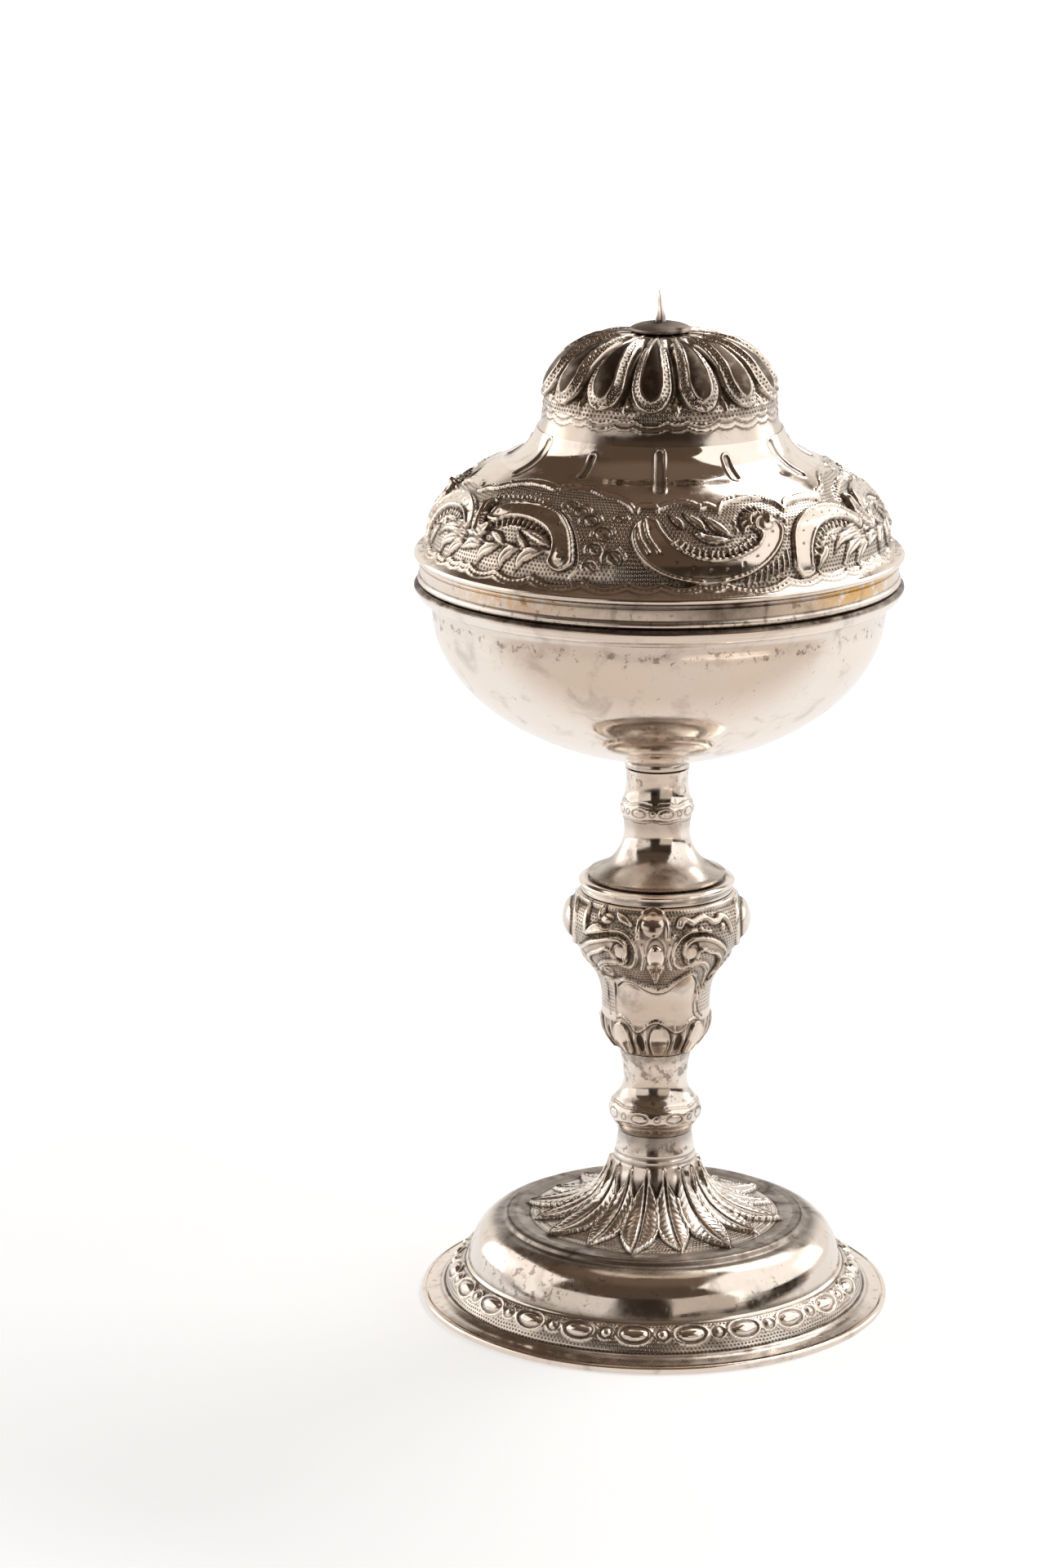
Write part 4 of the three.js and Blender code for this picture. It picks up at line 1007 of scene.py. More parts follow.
def vase_chasing():
    """Vase knop: cabochon between volutes, side medallion, leaves, ribbon, cartouche and calyx petals."""
    c = Chasing(smooth_path(VASE, 0.32), -92, 2, 258)
    # side medallion in its ring frame
    x = centred(c.a - 88, 180) * c.scale
    y = c.s - 8.4
    dome = np.hypot(x / 8.0, y / 5.0)
    c.height += 0.95 * ridge(dome, 1) + 0.5 * ridge((np.hypot(x / 10.4, y / 6.9) - 1) * 6.9, 0.6)
    c.bare = np.maximum(c.bare, np.clip((1 - dome) * 8, 0, 1))
    c.dark += 0.5 * cut((dome - 1) * 5, 0.5)
    for points in VASE_VOLUTES:
        c.form(points, 0.95, 0.5, 0.35, 0.4)
    for points in VASE_LEAVES + [VASE_RIBBON]:
        c.form(points, 0.8, 0.35, -0.1, 0.12)
    for points in VASE_SPIRALS:
        c.groove(points, 0.36, 0.35)
    for points in VASE_RIMS:
        c.cord(points, 0.5, 0.45)
    for points in VASE_TAILS:
        c.cord(points, 1.0, 0.6, 0.35)
        c.groove(points, 0.22, 0.2)
    for x0, y0 in ((-43, 20.3), (46, 27.6)):
        c.cord([(x0 - 4, y0), (x0, y0 - 1.7), (x0 + 4, y0), (x0, y0 + 1.6), (x0 - 2, y0)], 0.5, 0.4)
    for points in VASE_FLUTES:
        c.cord(points, 0.45, 0.4)
    c.cord([(-13.5, 8), (-13, 4), (-9.6, 1.0), (-4, 0.0), (1.6, 1.0), (5, 4), (5.6, 8)], 0.6, 0.5)
    for points in VASE_PENDANT:
        c.cord(points, 0.75, 0.55, 0.5)
    for drop in VASE_DROPS:
        c.drop(*drop)
    # stippled ground above the cartouche and in the strips beside it
    top = np.interp(c.theta, *zip(*CARTOUCHE_TOP))[None, :]
    side = np.abs(c.a + 2)
    under = ease(c.s - top, -1.0, -0.4)
    field = ease(c.s, 0.8, 1.6) * (1 - under)
    strips = under * (1 - ease(c.s, 31.8, 33.2)) * ease(side, 46, 50)
    c.height *= 1 - 0.6 * between(side, 44, 60, 62, 66)
    plain = np.clip(c.height / 0.25, 0, 1)
    c.height -= 0.6 * field + 0.3 * field * ease(side, 50, 64) + 0.12 * strips
    smooth = ease(1 - np.hypot((c.a + 2) / 15, (c.s - 11) / 9), 0, 0.3)
    c.punched = np.clip(field * (1 - plain) * (1 - smooth) + 0.6 * strips, 0, 1) * (1 - c.bare)
    c.dark += 0.3 * c.punched
    for line in VASE_FRAMES:
        c.cord(line, 0.3, 0.28)
        c.groove([(x0, y0 + 0.5) for x0, y0 in line], 0.26, 0.16)
    # calyx: petals 45 degrees apart, with a dark dart between two of them
    u = np.abs(centred(c.a - 3, 45))
    half = np.interp(c.s, [34.3, 35.2, 36.5, 38.5, 41, 43, 44.2], [0, 7, 10.5, 12, 11.5, 10, 8])
    reach = between(c.s, 34, 35.4, 43.4, 44.5)
    rim = (half - u) * c.scale
    inside = ease(rim, -0.1, 0.4)
    c.height += reach * (0.45 * inside * ridge(u, np.maximum(half, 0.5)) - 0.3 * (1 - inside))
    c.height += 0.22 * reach * ridge(rim - 0.35, 0.32)
    dart = np.hypot((22.5 - u) / 4.5, (c.s - 39.8) / 3.5)
    c.height -= 0.3 * ridge(dart, 1)
    rib = ridge((u - 16) * c.scale, 0.35) * reach
    c.height += 0.3 * rib
    c.dark += 0.55 * reach * cut(rim, 0.35) + 0.9 * ease(1 - dart, 0.0, 0.25)
    c.dark += 0.45 * reach * (1 - inside) * (1 - rib) + 0.55 * ease(c.s, 43.6, 44.4)
    for level in (0.45, 1.0):
        c.dark += 0.4 * ridge(c.s - level, 0.22)
    # setting round the cabochon, and painted dark reflection on the smooth ground round it
    stone = np.hypot((c.a + 2) * c.scale / 2.35, (c.s - 11.3) / 3.7)
    c.height += 0.3 * ridge((stone - 1) * 2.35, 0.3)
    c.dark += 0.5 * cut((stone - 0.9) * 2.35, 0.4) + 0.25 * smooth
    return c


def lower_chasing():
    """Lower neck with its engraved ring, pitted below the ring and stained at both ends."""
    c = Chasing(smooth_path(LOWER_KNOP, 0.25), -22.5 + 6, 8, 40)
    middle = np.interp(-46.5, -c.outline[:, 1], c.down)
    engraved_ring(c, middle, 2.0, 23.5, 1.15, 2.0)
    pitted = between(c.s, middle - 8.5, middle - 5, middle - 4.2, middle - 3.2)
    c.dark += 0.2 * pitted + 0.5 * ease(c.s, middle + 3.4, middle + 4.6) + 0.40 * (1 - ease(c.s, 0.6, 3.4))
    c.blotch += 0.62 * (1 - ease(c.s, 4.5, 9.5)) + 0.5 * pitted + 0.2
    return c


def upper_chasing():
    """Upper baluster with its engraved ring, dark under the ring and towards the plate."""
    c = Chasing(smooth_path(UPPER_STEM, 0.25), -22.5 + 4, 8, 36)
    middle = np.interp(-120.8, -c.outline[:, 1], c.down)
    engraved_ring(c, middle, 1.5, 13, 0.95, 1.75)
    c.dark += 0.3 * between(c.s, middle + 1.9, middle + 2.6, middle + 3.0, middle + 6)
    c.dark += 0.42 * ease(c.s, middle + 9, middle + 14)
    c.blotch += 0.42
    return c


def plate_paint(theta, radius, z):
    ring = between(radius, 14.9, 15.6, 15.8, 16.4) * (z > 103.3)
    under = ease(-z, -102.45, -102.1) * ease(z, 101.6, 101.9)
    return {"patina_and_shade": 0.34 * (z > 103.2) * (radius < 17.2) + 0.5 * under + 0.4 * ring}


def collar_paint(theta, radius, z):
    return {"patina_and_shade": 0.12 + 0.35 * between(z, 132.0, 132.4, 132.8, 133.2)}


class CUP_OT_stem(bpy.types.Operator):
    """Ring knops, chased vase knop with its cabochons, plate and collar"""
    bl_idname = "cup.stem"
    bl_label = "Stem"

    def execute(self, context):
        made = finishes()
        wall = context.scene.cup_sizes.sheet / MM
        lower = chased_sheet("lower_ring_knop", lower_chasing(), made["stem_silver"], wall)
        settle(lower, "base", "lower_knop", "lower_knop")
        vase = chased_sheet("vase_chased", vase_chasing(), made["vase_silver"], wall, hollow_darkening=1.25)
        settle(vase, "base", "vase_knop", "vase_knop")
        stones = grow("vase_cabochons", ring_tree, {
            "Count": 2, "Radius": 20.75 * MM, "Level": 89.9 * MM, "First": -2 * DEGREE, "Lean": 0.40,
            "Size": (2.15 * MM, 1.55 * MM, 3.3 * MM), "Facets": 32, "Material": made["polished_silver"]})
        dye(stones.data)
        settle(stones, "base", "vase_knop", "vase_knop")
        plate = [(2.3, 103.8), (14.9, 103.8), (15.3, 103.62), (15.7, 103.45), (16.1, 103.62), (16.5, 103.8),
                 (17.4, 103.8), (18.05, 103.62), (18.42, 103.3), (18.5, 103.0), (18.35, 102.6),
                 (17.95, 102.4), (17.72, 102.28), (17.72, 102.1), (17.9, 101.8), (17.9, 101.0), (17.0, 101.0),
                 (17.0, 102.9), (2.3, 102.9)]
        plate_piece = lathe("plate_turned", plate, made["turned_silver"], 160, paint=plate_paint)
        settle(plate_piece, "base", "knop_plate", "knop_plate")
        upper = chased_sheet("upper_baluster", upper_chasing(), made["stem_silver"], wall)
        settle(upper, "base", "upper_stem", "upper_stem")
        collar = [(2.3, 131.6), (2.3, 127.0), (6.0, 127.0), (6.0, 130.7), (7.3, 130.7), (7.62, 130.85),
                  (7.7, 131.2), (7.68, 131.8), (7.55, 132.25), (7.9, 132.6), (8.6, 133.05), (8.9, 133.4),
                  (7.2, 133.15), (4.0, 132.65), (2.3, 132.55)]
        collar_piece = lathe("collar_soldered", collar, made["turned_silver"], 96, paint=collar_paint)
        settle(collar_piece, "base", "cup_collar", "cup_collar")
        return {"FINISHED"}


# Cup

def bowl_profile(wall):
    """Closed profile of the raised bowl: half an oval up to the shoulder, and the mouth above it."""
    radius, shoulder, depth = 52.9, 169.2, 36.4
    share = np.linspace(0.0, 1.0, 56) * math.pi / 2
    hollow = np.stack([radius * np.sin(share) ** 1.1, shoulder - depth * np.cos(share)], 1)
    mouth = smooth_path([(radius, shoulder), (53.1, 170.4), (54.0, 171.6), (54.6, 173.2), (54.6, 175.2)], 0.5)
    outer = np.vstack([hollow, mouth[1:]])
    inner = (outer + wall * outward(outer))[::-1]
    inner[:, 0] = np.maximum(inner[:, 0], 0)
    return np.vstack([outer, inner[inner[:, 0] > 1e-3], inner[-1:]])


def bowl_paint(theta, radius, z):
    # Painted shade of the lip wire just under it, 170.4 to 171.6 mm up. The bowl is also a little darker
    # below the mouth and towards its bottom.
    dark = 0.08 * ease(z, 166, 169.6) + 0.12 * ease(z, 170.4, 171.6) + 0.10 * ease(-z, -140, -133)
    return {"patina_and_shade": dark, "blotch": 0.40 * between(z, 165.5, 167.6, 169.4, 170) + 0.22 * (z > 140)}


def lip_paint(theta, radius, z):
    # Painted shadow: the top of the wire, in the gap under the lid's band, is painted dark.
    return {"patina_and_shade": 0.9 * ease(z, 174.4, 174.8)}


class CUP_OT_bowl(bpy.types.Operator):
    """Raised bowl and the moulded wire round its mouth"""
    bl_idname = "cup.bowl"
    bl_label = "Bowl and lip"

    def execute(self, context):
        metal = finishes()["polished_silver"]
        profile = bowl_profile(context.scene.cup_sizes.sheet / MM)
        settle(lathe("bowl_raised", profile, metal, 288, paint=bowl_paint), "base", "cup_bowl", "cup_bowl")
        lip = [(54.9, 175.4), (55.9, 175.4), (56.6, 175.2), (56.95, 174.75), (57.0, 174.3), (56.8, 173.8),
               (56.5, 173.4), (56.3, 173.0), (56.1, 172.6), (55.6, 172.1), (55.2, 171.95), (54.9, 171.9)]
        settle(lathe("lip_wire", lip, metal, 288, 40, lip_paint), "base", "cup_lip", "cup_lip")
        return {"FINISHED"}


# Lid

def crown_chasing(sizes):
    """Crown: fourteen lobes, each a shiny drop in a stippled border, the drop painted dark as a painted
    reflection, above a punched band with scallops.
    """
    begin = 6.3
    c = Chasing(smooth_path(CROWN, 0.38), -6.2 - 180 / LOBES, LOBES, 40)
    s = c.s - begin
    u = np.abs(c.a + 6.2)
    half = np.interp(s, [1.2, 3, 6, 12, 18.6, 60], [0, 2.4, 4.0, 5.2, 6.4, 6.4]) * end_round(s, 18.6, 24.2)
    edge = np.interp(s, [1.5, 3, 10, 19.5, 60], [7.5, 9.2, 10.2, 10.9, 10.9]) * end_round(s, 19.5, 26.5)
    inner = rim_gap(u, half, c, 24.2 + begin)
    outer = rim_gap(u, edge, c, 26.5 + begin)
    swell = between(s, 0.5, 6, 23.6, 27.2)
    shown = ease(s, 3, 7)
    drop = ridge(u, np.maximum(half, 0.05)) * (half > 0.1)
    c.height -= swell * sizes.furrow / MM * ease(u, 0.35 * half + 2, HALF_LOBE)
    c.height += 0.45 * drop * ease(s, 3, 8) - 0.3 * ease(-inner, 0, 0.6) + 0.2 * ridge(inner, 0.3)
    c.height += (0.34 * ridge(outer + 0.3, 0.36) - 0.5 * ease(outer, -0.1, 0.5)) * shown
    # Painted reflection: the inside of each shiny drop is painted dark, with a darker line just inside its
    # rim.
    c.dark += 0.45 * cut(inner + 0.5, 0.35) + 0.95 * ease(-inner, 0.3, 0.9)
    c.dark += 0.62 * cut(outer - 0.35, 0.42) * shown
    border = ease(inner, 0.1, 0.4) * ease(-outer, 0.2, 0.6) * (s > 2)
    gap = HALF_LOBE - u
    lens = gap / 2.6 + np.abs(s - 25.2) / 2.7
    c.height += 0.9 * np.clip(1 - lens, 0, 1)
    c.dark += 0.5 * cut(lens - 1.1, 0.25) * ease(s, 22, 23)
    c.dark += 0.75 * ease(u, 10.9, 12.4) * between(s, 1.5, 5, 20, 24) + 0.08 * border
    band = ease(outer, 0.5, 0.8) * between(s, 19, 23, 28.6, 29.2) * (lens > 1)
    c.punched = np.clip(border + band, 0, 1)
    # The whole crown is painted a little darker, and the punched band more.
    c.dark += 0.12 * band + 0.17
    sag = np.where(u <= 8, 1.15 * (1 - (u / 8) ** 2), 0.7 * (1 - (gap / 4.86) ** 2))
    for level, raise_by in ((28.4, 0.3), (29.9, 0.26)):
        c.height += raise_by * ridge(s - level - sag, 0.3)
        c.dark += 0.45 * ridge(s - level - sag - 0.45, 0.3)
    return c


def tongue(c, centre, first, last, half):
    """A dished tongue with a raised edge, down the sheet from first to last."""
    x = centred(c.a - centre, c.span) * c.scale
    y = np.maximum(np.maximum(first + half - c.s, c.s - last + half), 0)
    d = np.hypot(x * (1.2 - 0.2 * ease(c.s, first, last)), y) - half
    c.height += 0.2 * ridge(d, 0.3) - 0.22 * ease(-d, 0.2, 0.7)
    c.dark += 0.55 * cut(d + 0.42, 0.3) + 0.3 * ease(-d, 0.2, 0.6) + 0.35 * cut(d - 0.4, 0.25)


def bell_chasing():
    """Plain bell with long and short tongues; the long ones end on the shoulder."""
    c = Chasing(smooth_path(BELL, 0.28), -61.8, 3, 224)
    top, short_top, short_end = np.interp([-211.3, -209.6, -204.5], -c.outline[:, 1], c.down)
    for centre, past in LONG_TONGUES:
        tongue(c, centre, top, c.down[-1] + past, 1.45)
    for centre in (-31.8, 28.2):
        tongue(c, centre, short_top, short_end, 1.15)
    return c


def shoulder_chasing(sizes):
    """Shoulder of the lid: scrolls, shells and flowers on a punched ground between scalloped borders."""
    c = Chasing(smooth_path(SHOULDER, 0.36), -57.5, 3, 336)
    for points in (GREAT_ARCH, ARCH_VOLUTE, SHELL_SCROLL, SMALL_ARCH):
        c.form(points, 0.75, 0.36, 0.0, 0.42)
    for count, points in SHOULDER_DOTS:
        c.dots(points, count)
    for count, length, width, height, points in SHOULDER_TEETH:
        c.teeth(points, count, length, width, height)
    for points in SHOULDER_THREADS:
        c.cord(points, 0.3, 0.3)
    for points, width in SHOULDER_LEAVES:
        c.leaf(points, width)
    for points in SHOULDER_STEMS:
        c.cord(points, 0.36, 0.42)
    for bloom in SHOULDER_BLOOMS:
        c.bloom(*bloom)
    # shell: eleven ribs in a fan, over a comb of eight ribs that grow shorter
    for k in range(11):
        q = (-118 + 21 * k) * DEGREE
        reach = 4.6 - 1.3 * max(k - 6, 0) / 4
        stations = ((2.5, 2.1, 0), (0.713 * reach, 0.62 * reach, 0.2), (1.15 * reach, reach, 0.1))
        c.cord([(26 + across * math.sin(q + lean), 12.6 - along * math.cos(q + lean))
                for across, along, lean in stations], 0.52, 0.75, 0.35)
    c.groove([(20, 14.6), (20.4, 11.4), (22.8, 9.4), (26, 8.7), (29.2, 9.5), (31.2, 11.6)], 0.9, 0.1)
    for share in np.arange(8) / 7:
        x, y = 31.4 - 11 * share, 20.4 + 5.0 * share**0.7
        c.cord([(x, y), (x - 0.2 - 0.4 * share, y + 4.2 - 2.8 * share)], 0.4, 0.5)
    for x, y, r in SHOULDER_BEADS:
        c.drop(x, y, r, r, 0.45)
    # punched ground between the two scalloped borders
    top = np.interp(c.theta, *zip(*sorted(p for run in UPPER_BORDER for p in run)))[None, :]
    cusps = np.array(LOWER_CUSPS)
    k = np.clip(np.searchsorted(cusps, c.theta, side="right") - 1, 0, len(cusps) - 2)
    width = cusps[k + 1] - cusps[k]
    share = (c.theta - cusps[k]) / width
    below = c.s - (26.4 + 0.13 * width * 4 * share * (1 - share))[None, :]
    field = ease(c.s - top, 0.9, 1.5) * (1 - ease(below, -0.6, 0.0))
    c.height -= sizes.ground / MM * field
    c.punched = field * (1 - np.clip((c.height + 0.45) / 0.35, 0, 1))
    c.dark += 0.15 * field * (1 - c.bare)
    for run in UPPER_BORDER:
        c.cord(run, 0.3, 0.32)
        c.cord([(x, y + 0.95) for x, y in run], 0.26, 0.26)
    for gap in (0.0, 1.35):
        c.height += 0.28 * ridge(below - gap, 0.3)
        c.dark += 0.4 * ridge(below - gap - 0.5, 0.3)
    c.height += 0.2 * ridge(centred(c.a, 360 / 276) * c.scale, 0.26) * between(below, 0.2, 0.4, 0.95, 1.15)
    bell = run_of(smooth_path(BELL, 0.28))[-1]
    for centre, past in LONG_TONGUES:
        tongue(c, centre, -bell, past, 1.45)
    return c


def band_paint(theta, radius, z):
    """Gilding left in patches on the upright part, stains, and dark seams above and below it."""
    gold = 0.95 * patch(theta, 52, 18) + 0.55 * patch(theta, -40, 17)
    gold += 0.5 * patch(theta, 150, 25) + 0.4 * patch(theta, -130, 30)
    dark = 0.75 * patch(theta, 14, 12) + 0.16 * patch(theta, -15, 20)
    seam = 0.55 * ridge(z - 177.35, 0.2) + 0.45 * ridge(z - 180.15, 0.16)
    upright = ease(z, 177.3, 177.7)
    return {"gilding": upright * gold, "patina_and_shade": 0.08 + upright * dark + seam,
            "blotch": 0.40 + 0.35 * patch(theta, 14, 18) + 0.2 * patch(theta, -30, 14)}


class CUP_OT_lid(bpy.types.Operator):
    """Gadrooned crown, bell, chased shoulder and rolled edge of the lid, and its upright band"""
    bl_idname = "cup.lid"
    bl_label = "Lid"

    def execute(self, context):
        sizes = context.scene.cup_sizes
        made = finishes()
        wall = sizes.sheet / MM
        edge = plain_chasing(FLANGE_EDGE, 0.25, 288)
        edge.outline[:, 0] = np.minimum(edge.outline[:, 0], EDGE_RADIUS)
        for name, chasing, finish, thick, skip in (
                ("lid_crown", crown_chasing(sizes), "crown_silver", wall, 4),
                ("lid_bell", bell_chasing(), "bell_silver", wall, 4),
                ("lid_shoulder", shoulder_chasing(sizes), "shoulder_silver", wall, 7),
                ("lid_rolled_edge", edge, "turned_silver", 0.75, 2)):
            settle(chased_sheet(name, chasing, made[finish], thick, skip), "lid", "lid_shell", "lid_shell")
        band = [(54.9, 175.7), (55.8, 175.7), (56.0, 175.85), (56.15, 176.2), (56.15, 176.7), (56.0, 177.05),
                (55.72, 177.25), (55.62, 177.4), (55.75, 177.6), (55.8, 179.9), (55.62, 180.05),
                (55.62, 180.25), (55.8, 180.4), (55.8, 180.9), (54.9, 180.9)]
        band_piece = lathe("band_upright", band, made["gilded_silver"], 288, paint=band_paint)
        settle(band_piece, "lid", "lid_band", "lid_band")
        return {"FINISHED"}


# Finial

def disc_paint(theta, radius, z):
    # Painted highlight: the rim is painted lighter. The middle by the tang is darker.
    return {"patina_and_shade": 0.66 + 0.25 * (1 - ease(radius, 2, 4.5)) - 0.3 * ease(radius, 6.3, 6.8)}


def tang_paint(theta, radius, z):
    return {"patina_and_shade": 0.55 * (1 - ease(z, 236, 239)) + 0.2}


def tang_mesh():
    """Riveted shank and creased tang, slightly bent."""
    sides = 24
    angle = np.arange(sides) / sides * math.tau
    rings = [np.stack([radius * np.sin(angle), -radius * np.cos(angle), np.full(sides, z)], 1)
             for radius, z in ((1.7, 229.8), (2.5, 230.3), (2.5, 230.85), (1.3, 230.85), (1.3, 235.9))]
    crease = 1 + 0.75 * patch(centred(np.degrees(angle) - 8, 360), 0, 26)
    for share in np.linspace(0, 1, 26):
        width = 1.2 * (1 - 0.80 * share**0.85)
        x = width * np.sin(angle) - 0.5 * share**2 + 0.06 * math.sin(9 * share)
        y = -0.62 * width * np.cos(angle) * crease
        rings.append(np.stack([x, y, np.full(sides, 236.15 + 6.82 * share)], 1))
    points = np.vstack(rings + [[[0, 0, 229.8]], [[rings[-1][:, 0].mean(), 0, 243.0]]]) * MM
    last = (len(rings) - 1) * sides
    foot, tip = len(points) - 2, len(points) - 1
    turns = [(j, (j + 1) % sides) for j in range(sides)]
    faces = [(i + j, i + k, i + sides + k, i + sides + j) for i in range(0, last, sides) for j, k in turns]
    faces += [(foot, k, j) for j, k in turns] + [(tip, last + j, last + k) for j, k in turns]
    mesh = bpy.data.meshes.new("tang_creased")
    mesh.from_pydata([tuple(p) for p in points], [], faces)
    finish_mesh(mesh, 40, tang_paint)
    return mesh


class CUP_OT_finial(bpy.types.Operator):
    """Domed disc and the creased tang of the lost finial"""
    bl_idname = "cup.finial"
    bl_label = "Finial"

    def execute(self, context):
        made = finishes()
        disc = [(1.6, 233.6), (6.5, 233.6), (6.85, 233.75), (7.0, 234.05), (6.9, 234.4), (6.4, 234.75),
                (5.2, 235.2), (3.6, 235.55), (2.4, 235.7), (1.6, 235.8)]
        disc_piece = lathe("disc_domed", disc, made["tarnished_silver"], 96, paint=disc_paint)
        settle(disc_piece, "lid", "finial_disc", "finial_disc")
        tang = linked("tang_creased", tang_mesh())
        tang.data.materials.append(made["turned_silver"])
        settle(tang, "lid", "finial_tang", "finial_tang")
        return {"FINISHED"}


# Fittings that the solids already show well

class CUP_OT_fittings(bpy.types.Operator):
    """Finishes of the fittings inside the stem and the lid"""
    bl_idname = "cup.fittings"
    bl_label = "Inside fittings"

    def execute(self, context):
        c = context.scene.cup_colours
        brass = plain_metal("dull_brass", list(c.brass), [k * 0.45 for k in c.brass], 0.42)
        steel = plain_metal("drawn_rod", list(c.steel), [k * 0.5 for k in c.steel], 0.45)
        stained = [(a + b) / 2 for a, b in zip(c.silver, c.tarnish_and_shade)]
        bare = plain_metal("inner_ring_silver", [k * 0.9 for k in c.silver], stained, 0.26)
        for node, material in (("tie_washer", brass), ("tie_nut", brass), ("tie_rod", steel),
                               ("lid_bezel", bare), ("finial_washer", steel)):
            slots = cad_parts[node].data.materials
            if len(slots):
                slots[0] = material
            else:
                slots.append(material)
        return {"FINISHED"}


# Stage

def area_light(name, place, aim, width, height, radiance, colour=(1, 1, 1)):
    """A soft panel that faces a point."""
    data = bpy.data.lights.new(name, "AREA")
    data.shape = "RECTANGLE"
    data.size, data.size_y = width, height
    data.energy = radiance * width * height * math.pi
    data.color = colour
    lamp = linked(name, data)
    lamp.location = place
    away = np.subtract(place, aim)
    away /= np.linalg.norm(away)
    lamp.rotation_euler = (math.acos(away[2]), 0, math.atan2(away[0], -away[1]))
    lamp.visible_camera = False


def studio_world():
    """White to the camera; to the metal, a dim room with a pale backdrop behind the cup."""
    world = bpy.data.worlds.new("studio_world")
    world.use_nodes = True
    n = Nodes(world.node_tree)
    n.tree.nodes.clear()
    _, behind, up = n.parts(n.add("ShaderNodeTexCoord", output="Generated"))
    backdrop = n.times(n.span(behind, 0.15, 0.45, 0, 0.9), n.span(up, 0.40, 0.56, 1, 0))
    haze = n.plus(n.span(up, 0.36, 0.48, 0.0, 0.055), n.span(up, 0.78, 0.94, 0.0, 0.06))
    level = n.plus(n.plus(backdrop, haze), 0.036)
    warmth = n.mix(n.span(level, 0.10, 0.5), (1.0, 0.70, 0.50, 1), (1.0, 0.96, 0.92, 1))
    room = n.add("ShaderNodeBackground", {"Color": warmth, "Strength": level})
    white = n.add("ShaderNodeBackground", {"Color": (1, 1, 1, 1), "Strength": 1.0})
    camera = n.add("ShaderNodeLightPath", output="Is Camera Ray")
    n.node("ShaderNodeOutputWorld", {0: n.add("ShaderNodeMixShader", {0: camera, 1: room, 2: white})})
    bpy.context.scene.world = world


def floor_material(colour):
    """Pale floor, white to the camera; mirrored in the metal, it is warm and ends in the dark in front."""
    f = Finish("studio_floor")
    depth = f.parts(f.where)[1]
    reach = f.add("ShaderNodeVectorMath", {0: f.where}, "Value", operation="LENGTH")
    path = f.node("ShaderNodeLightPath").outputs
    camera, glossy = path["Is Camera Ray"], path["Is Glossy Ray"]
    lit = f.span(depth, -0.70, -0.60)
    tone = f.mix(f.span(f.noise(14, 3, 0.5), 0.3, 0.7), rgba(colour), rgba([c * 0.985 for c in colour]))
    mirrored = f.mix(lit, rgba((0.02, 0.014, 0.01)), rgba([c * 0.25 for c in colour]))
    paper = f.add("ShaderNodeBsdfDiffuse", {"Color": f.mix(glossy, tone, mirrored)})
    shown = f.mix(f.span(depth, -0.14, 0.05), rgba(FLOOR_BEFORE), rgba(FLOOR_BEHIND))
    glare = f.plus(f.span(reach, 0.5, 1.15, FLOOR_GLOW, 1.06), f.span(reach, 0.17, 0.27, 0.0, 0.10))
    mirror = f.times(glossy, f.times(lit, 0.87))
    glow = f.add("ShaderNodeEmission", {"Color": f.mix(glossy, (0.96, 0.986, 1, 1), shown),
                                        "Strength": f.plus(f.times(camera, glare), mirror)})
    f.node("ShaderNodeOutputMaterial", {0: f.add("ShaderNodeAddShader", {0: paper, 1: glow})})
    return f.material


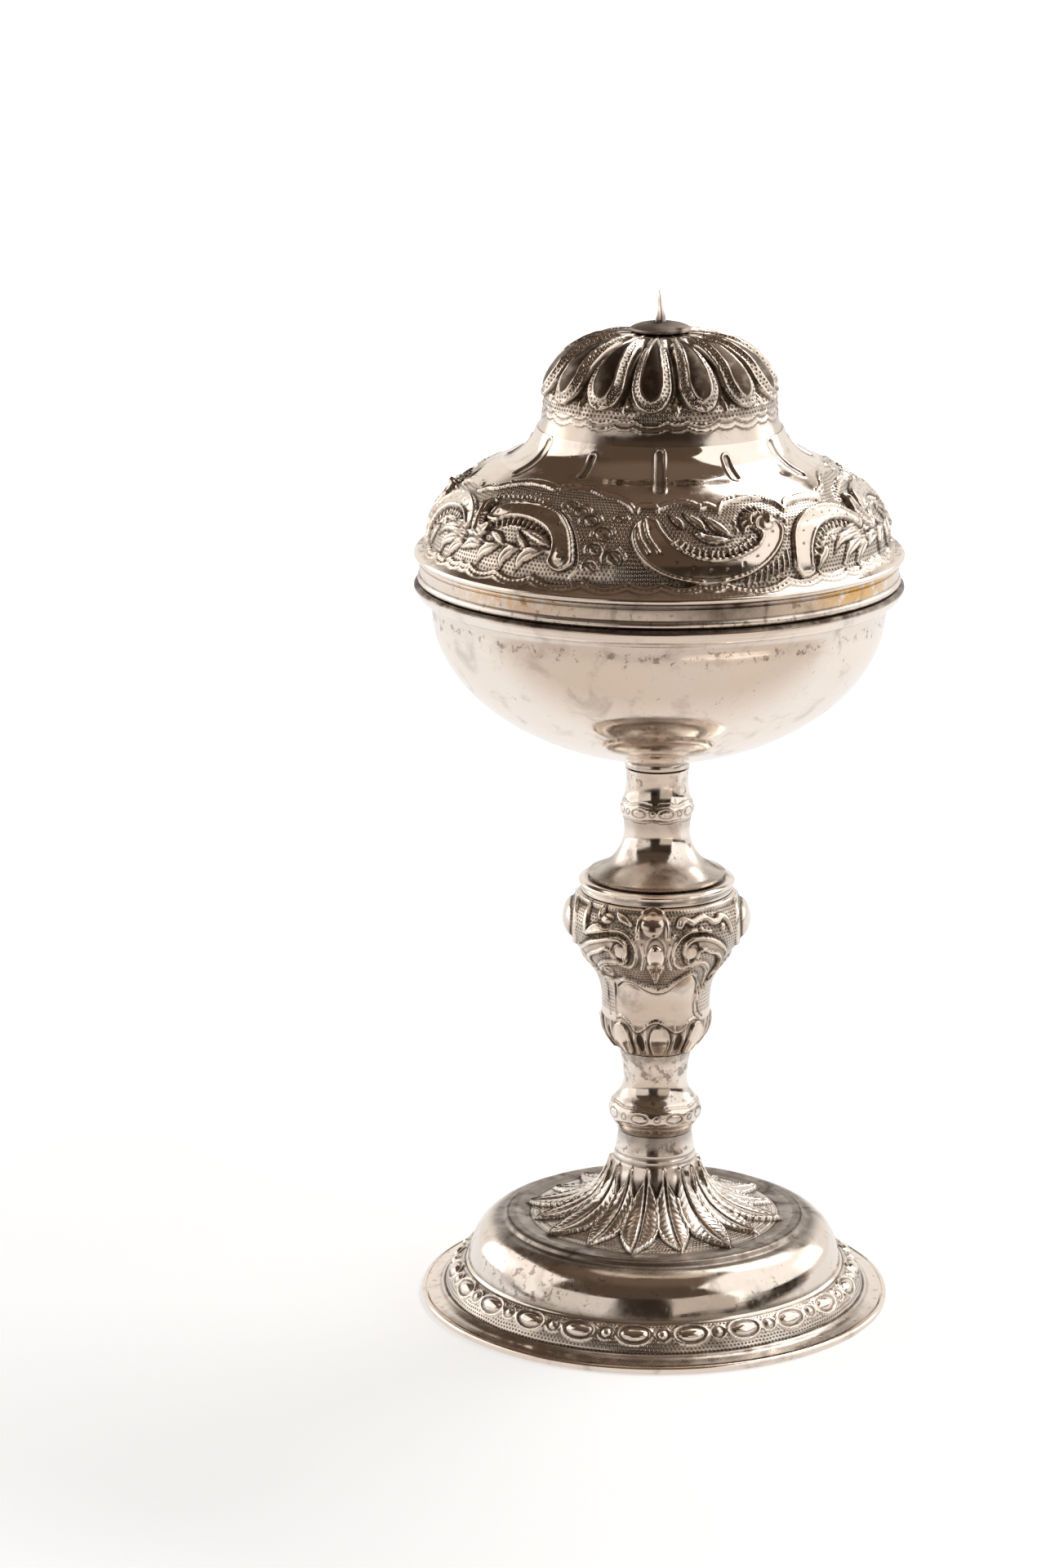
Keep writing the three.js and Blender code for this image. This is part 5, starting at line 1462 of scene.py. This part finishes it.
class CUP_OT_stage(bpy.types.Operator):
    """Pale floor, soft panels, room and camera"""
    bl_idname = "cup.stage"
    bl_label = "Stage"

    def execute(self, context):
        scene = context.scene
        sides = 64
        turns = [math.tau * k / sides for k in range(sides)]
        mesh = bpy.data.meshes.new("studio_floor")
        ring = [(FLOOR_RADIUS * math.cos(turn), FLOOR_RADIUS * math.sin(turn), 0) for turn in turns]
        mesh.from_pydata(ring, [], [list(range(sides))])
        mesh.materials.append(floor_material(list(scene.cup_colours.floor)))
        floor = linked("studio_floor", mesh)
        floor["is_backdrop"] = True
        area_light("key_panel", (0.53, 0.64, 1.12), (0, 0, 0.12), 0.7, 0.5, 4.0)
        area_light("left_panel", (-0.80, 0.30, 0.42), (0, 0.30, 0.32), 1.2, 0.76, 1.1, (1.0, 0.98, 0.965))
        area_light("left_strip", (-0.80, -0.76, 0.24), (0, -0.1, 0.08), 0.92, 0.42, 0.72, (1.0, 0.95, 0.91))
        area_light("front_panel", (0.20, -0.33, 0.115), (0.01, 0, 0.03), 0.32, 0.15, 0.55, (1.0, 0.90, 0.81))
        area_light("right_panel", (0.85, 0.05, 0.75), (0, 0.05, 0.35), 1.9, 1.2, 1.12)
        studio_world()
        camera = bpy.data.cameras.new("camera")
        camera.lens, camera.sensor_width, camera.clip_end = CAMERA_LENS, 36, 60
        eye = linked("camera", camera)
        eye.location = CAMERA_PLACE
        eye.rotation_euler = ((90 - CAMERA_TILT) * DEGREE, 0, 0)
        scene.camera = eye
        scene.view_settings.view_transform = "Standard"
        return {"FINISHED"}


class CUP_PT_panel(bpy.types.Panel):
    """Sizes and colours of the covered cup, and a button for each of its parts"""
    bl_idname = "CUP_PT_panel"
    bl_label = "Covered Cup"
    bl_space_type = "VIEW_3D"
    bl_region_type = "UI"
    bl_category = "Covered Cup"

    def draw(self, context):
        for settings in (context.scene.cup_sizes, context.scene.cup_colours):
            for key in settings.__annotations__:
                self.layout.prop(settings, key)
        for operator in OPERATORS:
            self.layout.operator(operator.bl_idname)


OPERATORS = (CUP_OT_stage, CUP_OT_foot, CUP_OT_stem, CUP_OT_bowl, CUP_OT_lid, CUP_OT_finial, CUP_OT_fittings)
CLASSES = (CupSizes, CupColours, *OPERATORS, CUP_PT_panel)


def register():
    for cls in CLASSES:
        bpy.utils.register_class(cls)
    bpy.types.Scene.cup_sizes = bpy.props.PointerProperty(type=CupSizes)
    bpy.types.Scene.cup_colours = bpy.props.PointerProperty(type=CupColours)


def unregister():
    del bpy.types.Scene.cup_colours
    del bpy.types.Scene.cup_sizes
    for cls in reversed(CLASSES):
        bpy.utils.unregister_class(cls)


def main():
    register()
    bpy.ops.cup.stage()
    bpy.ops.cup.foot()
    bpy.ops.cup.stem()
    bpy.ops.cup.bowl()
    bpy.ops.cup.lid()
    bpy.ops.cup.finial()
    bpy.ops.cup.fittings()
    plain = lambda box: [[float(v) for v in corner] for corner in box]
    {"cad": plain(CAD_BOX), "visual": plain(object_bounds())}


if __name__ == "__main__":
    main()
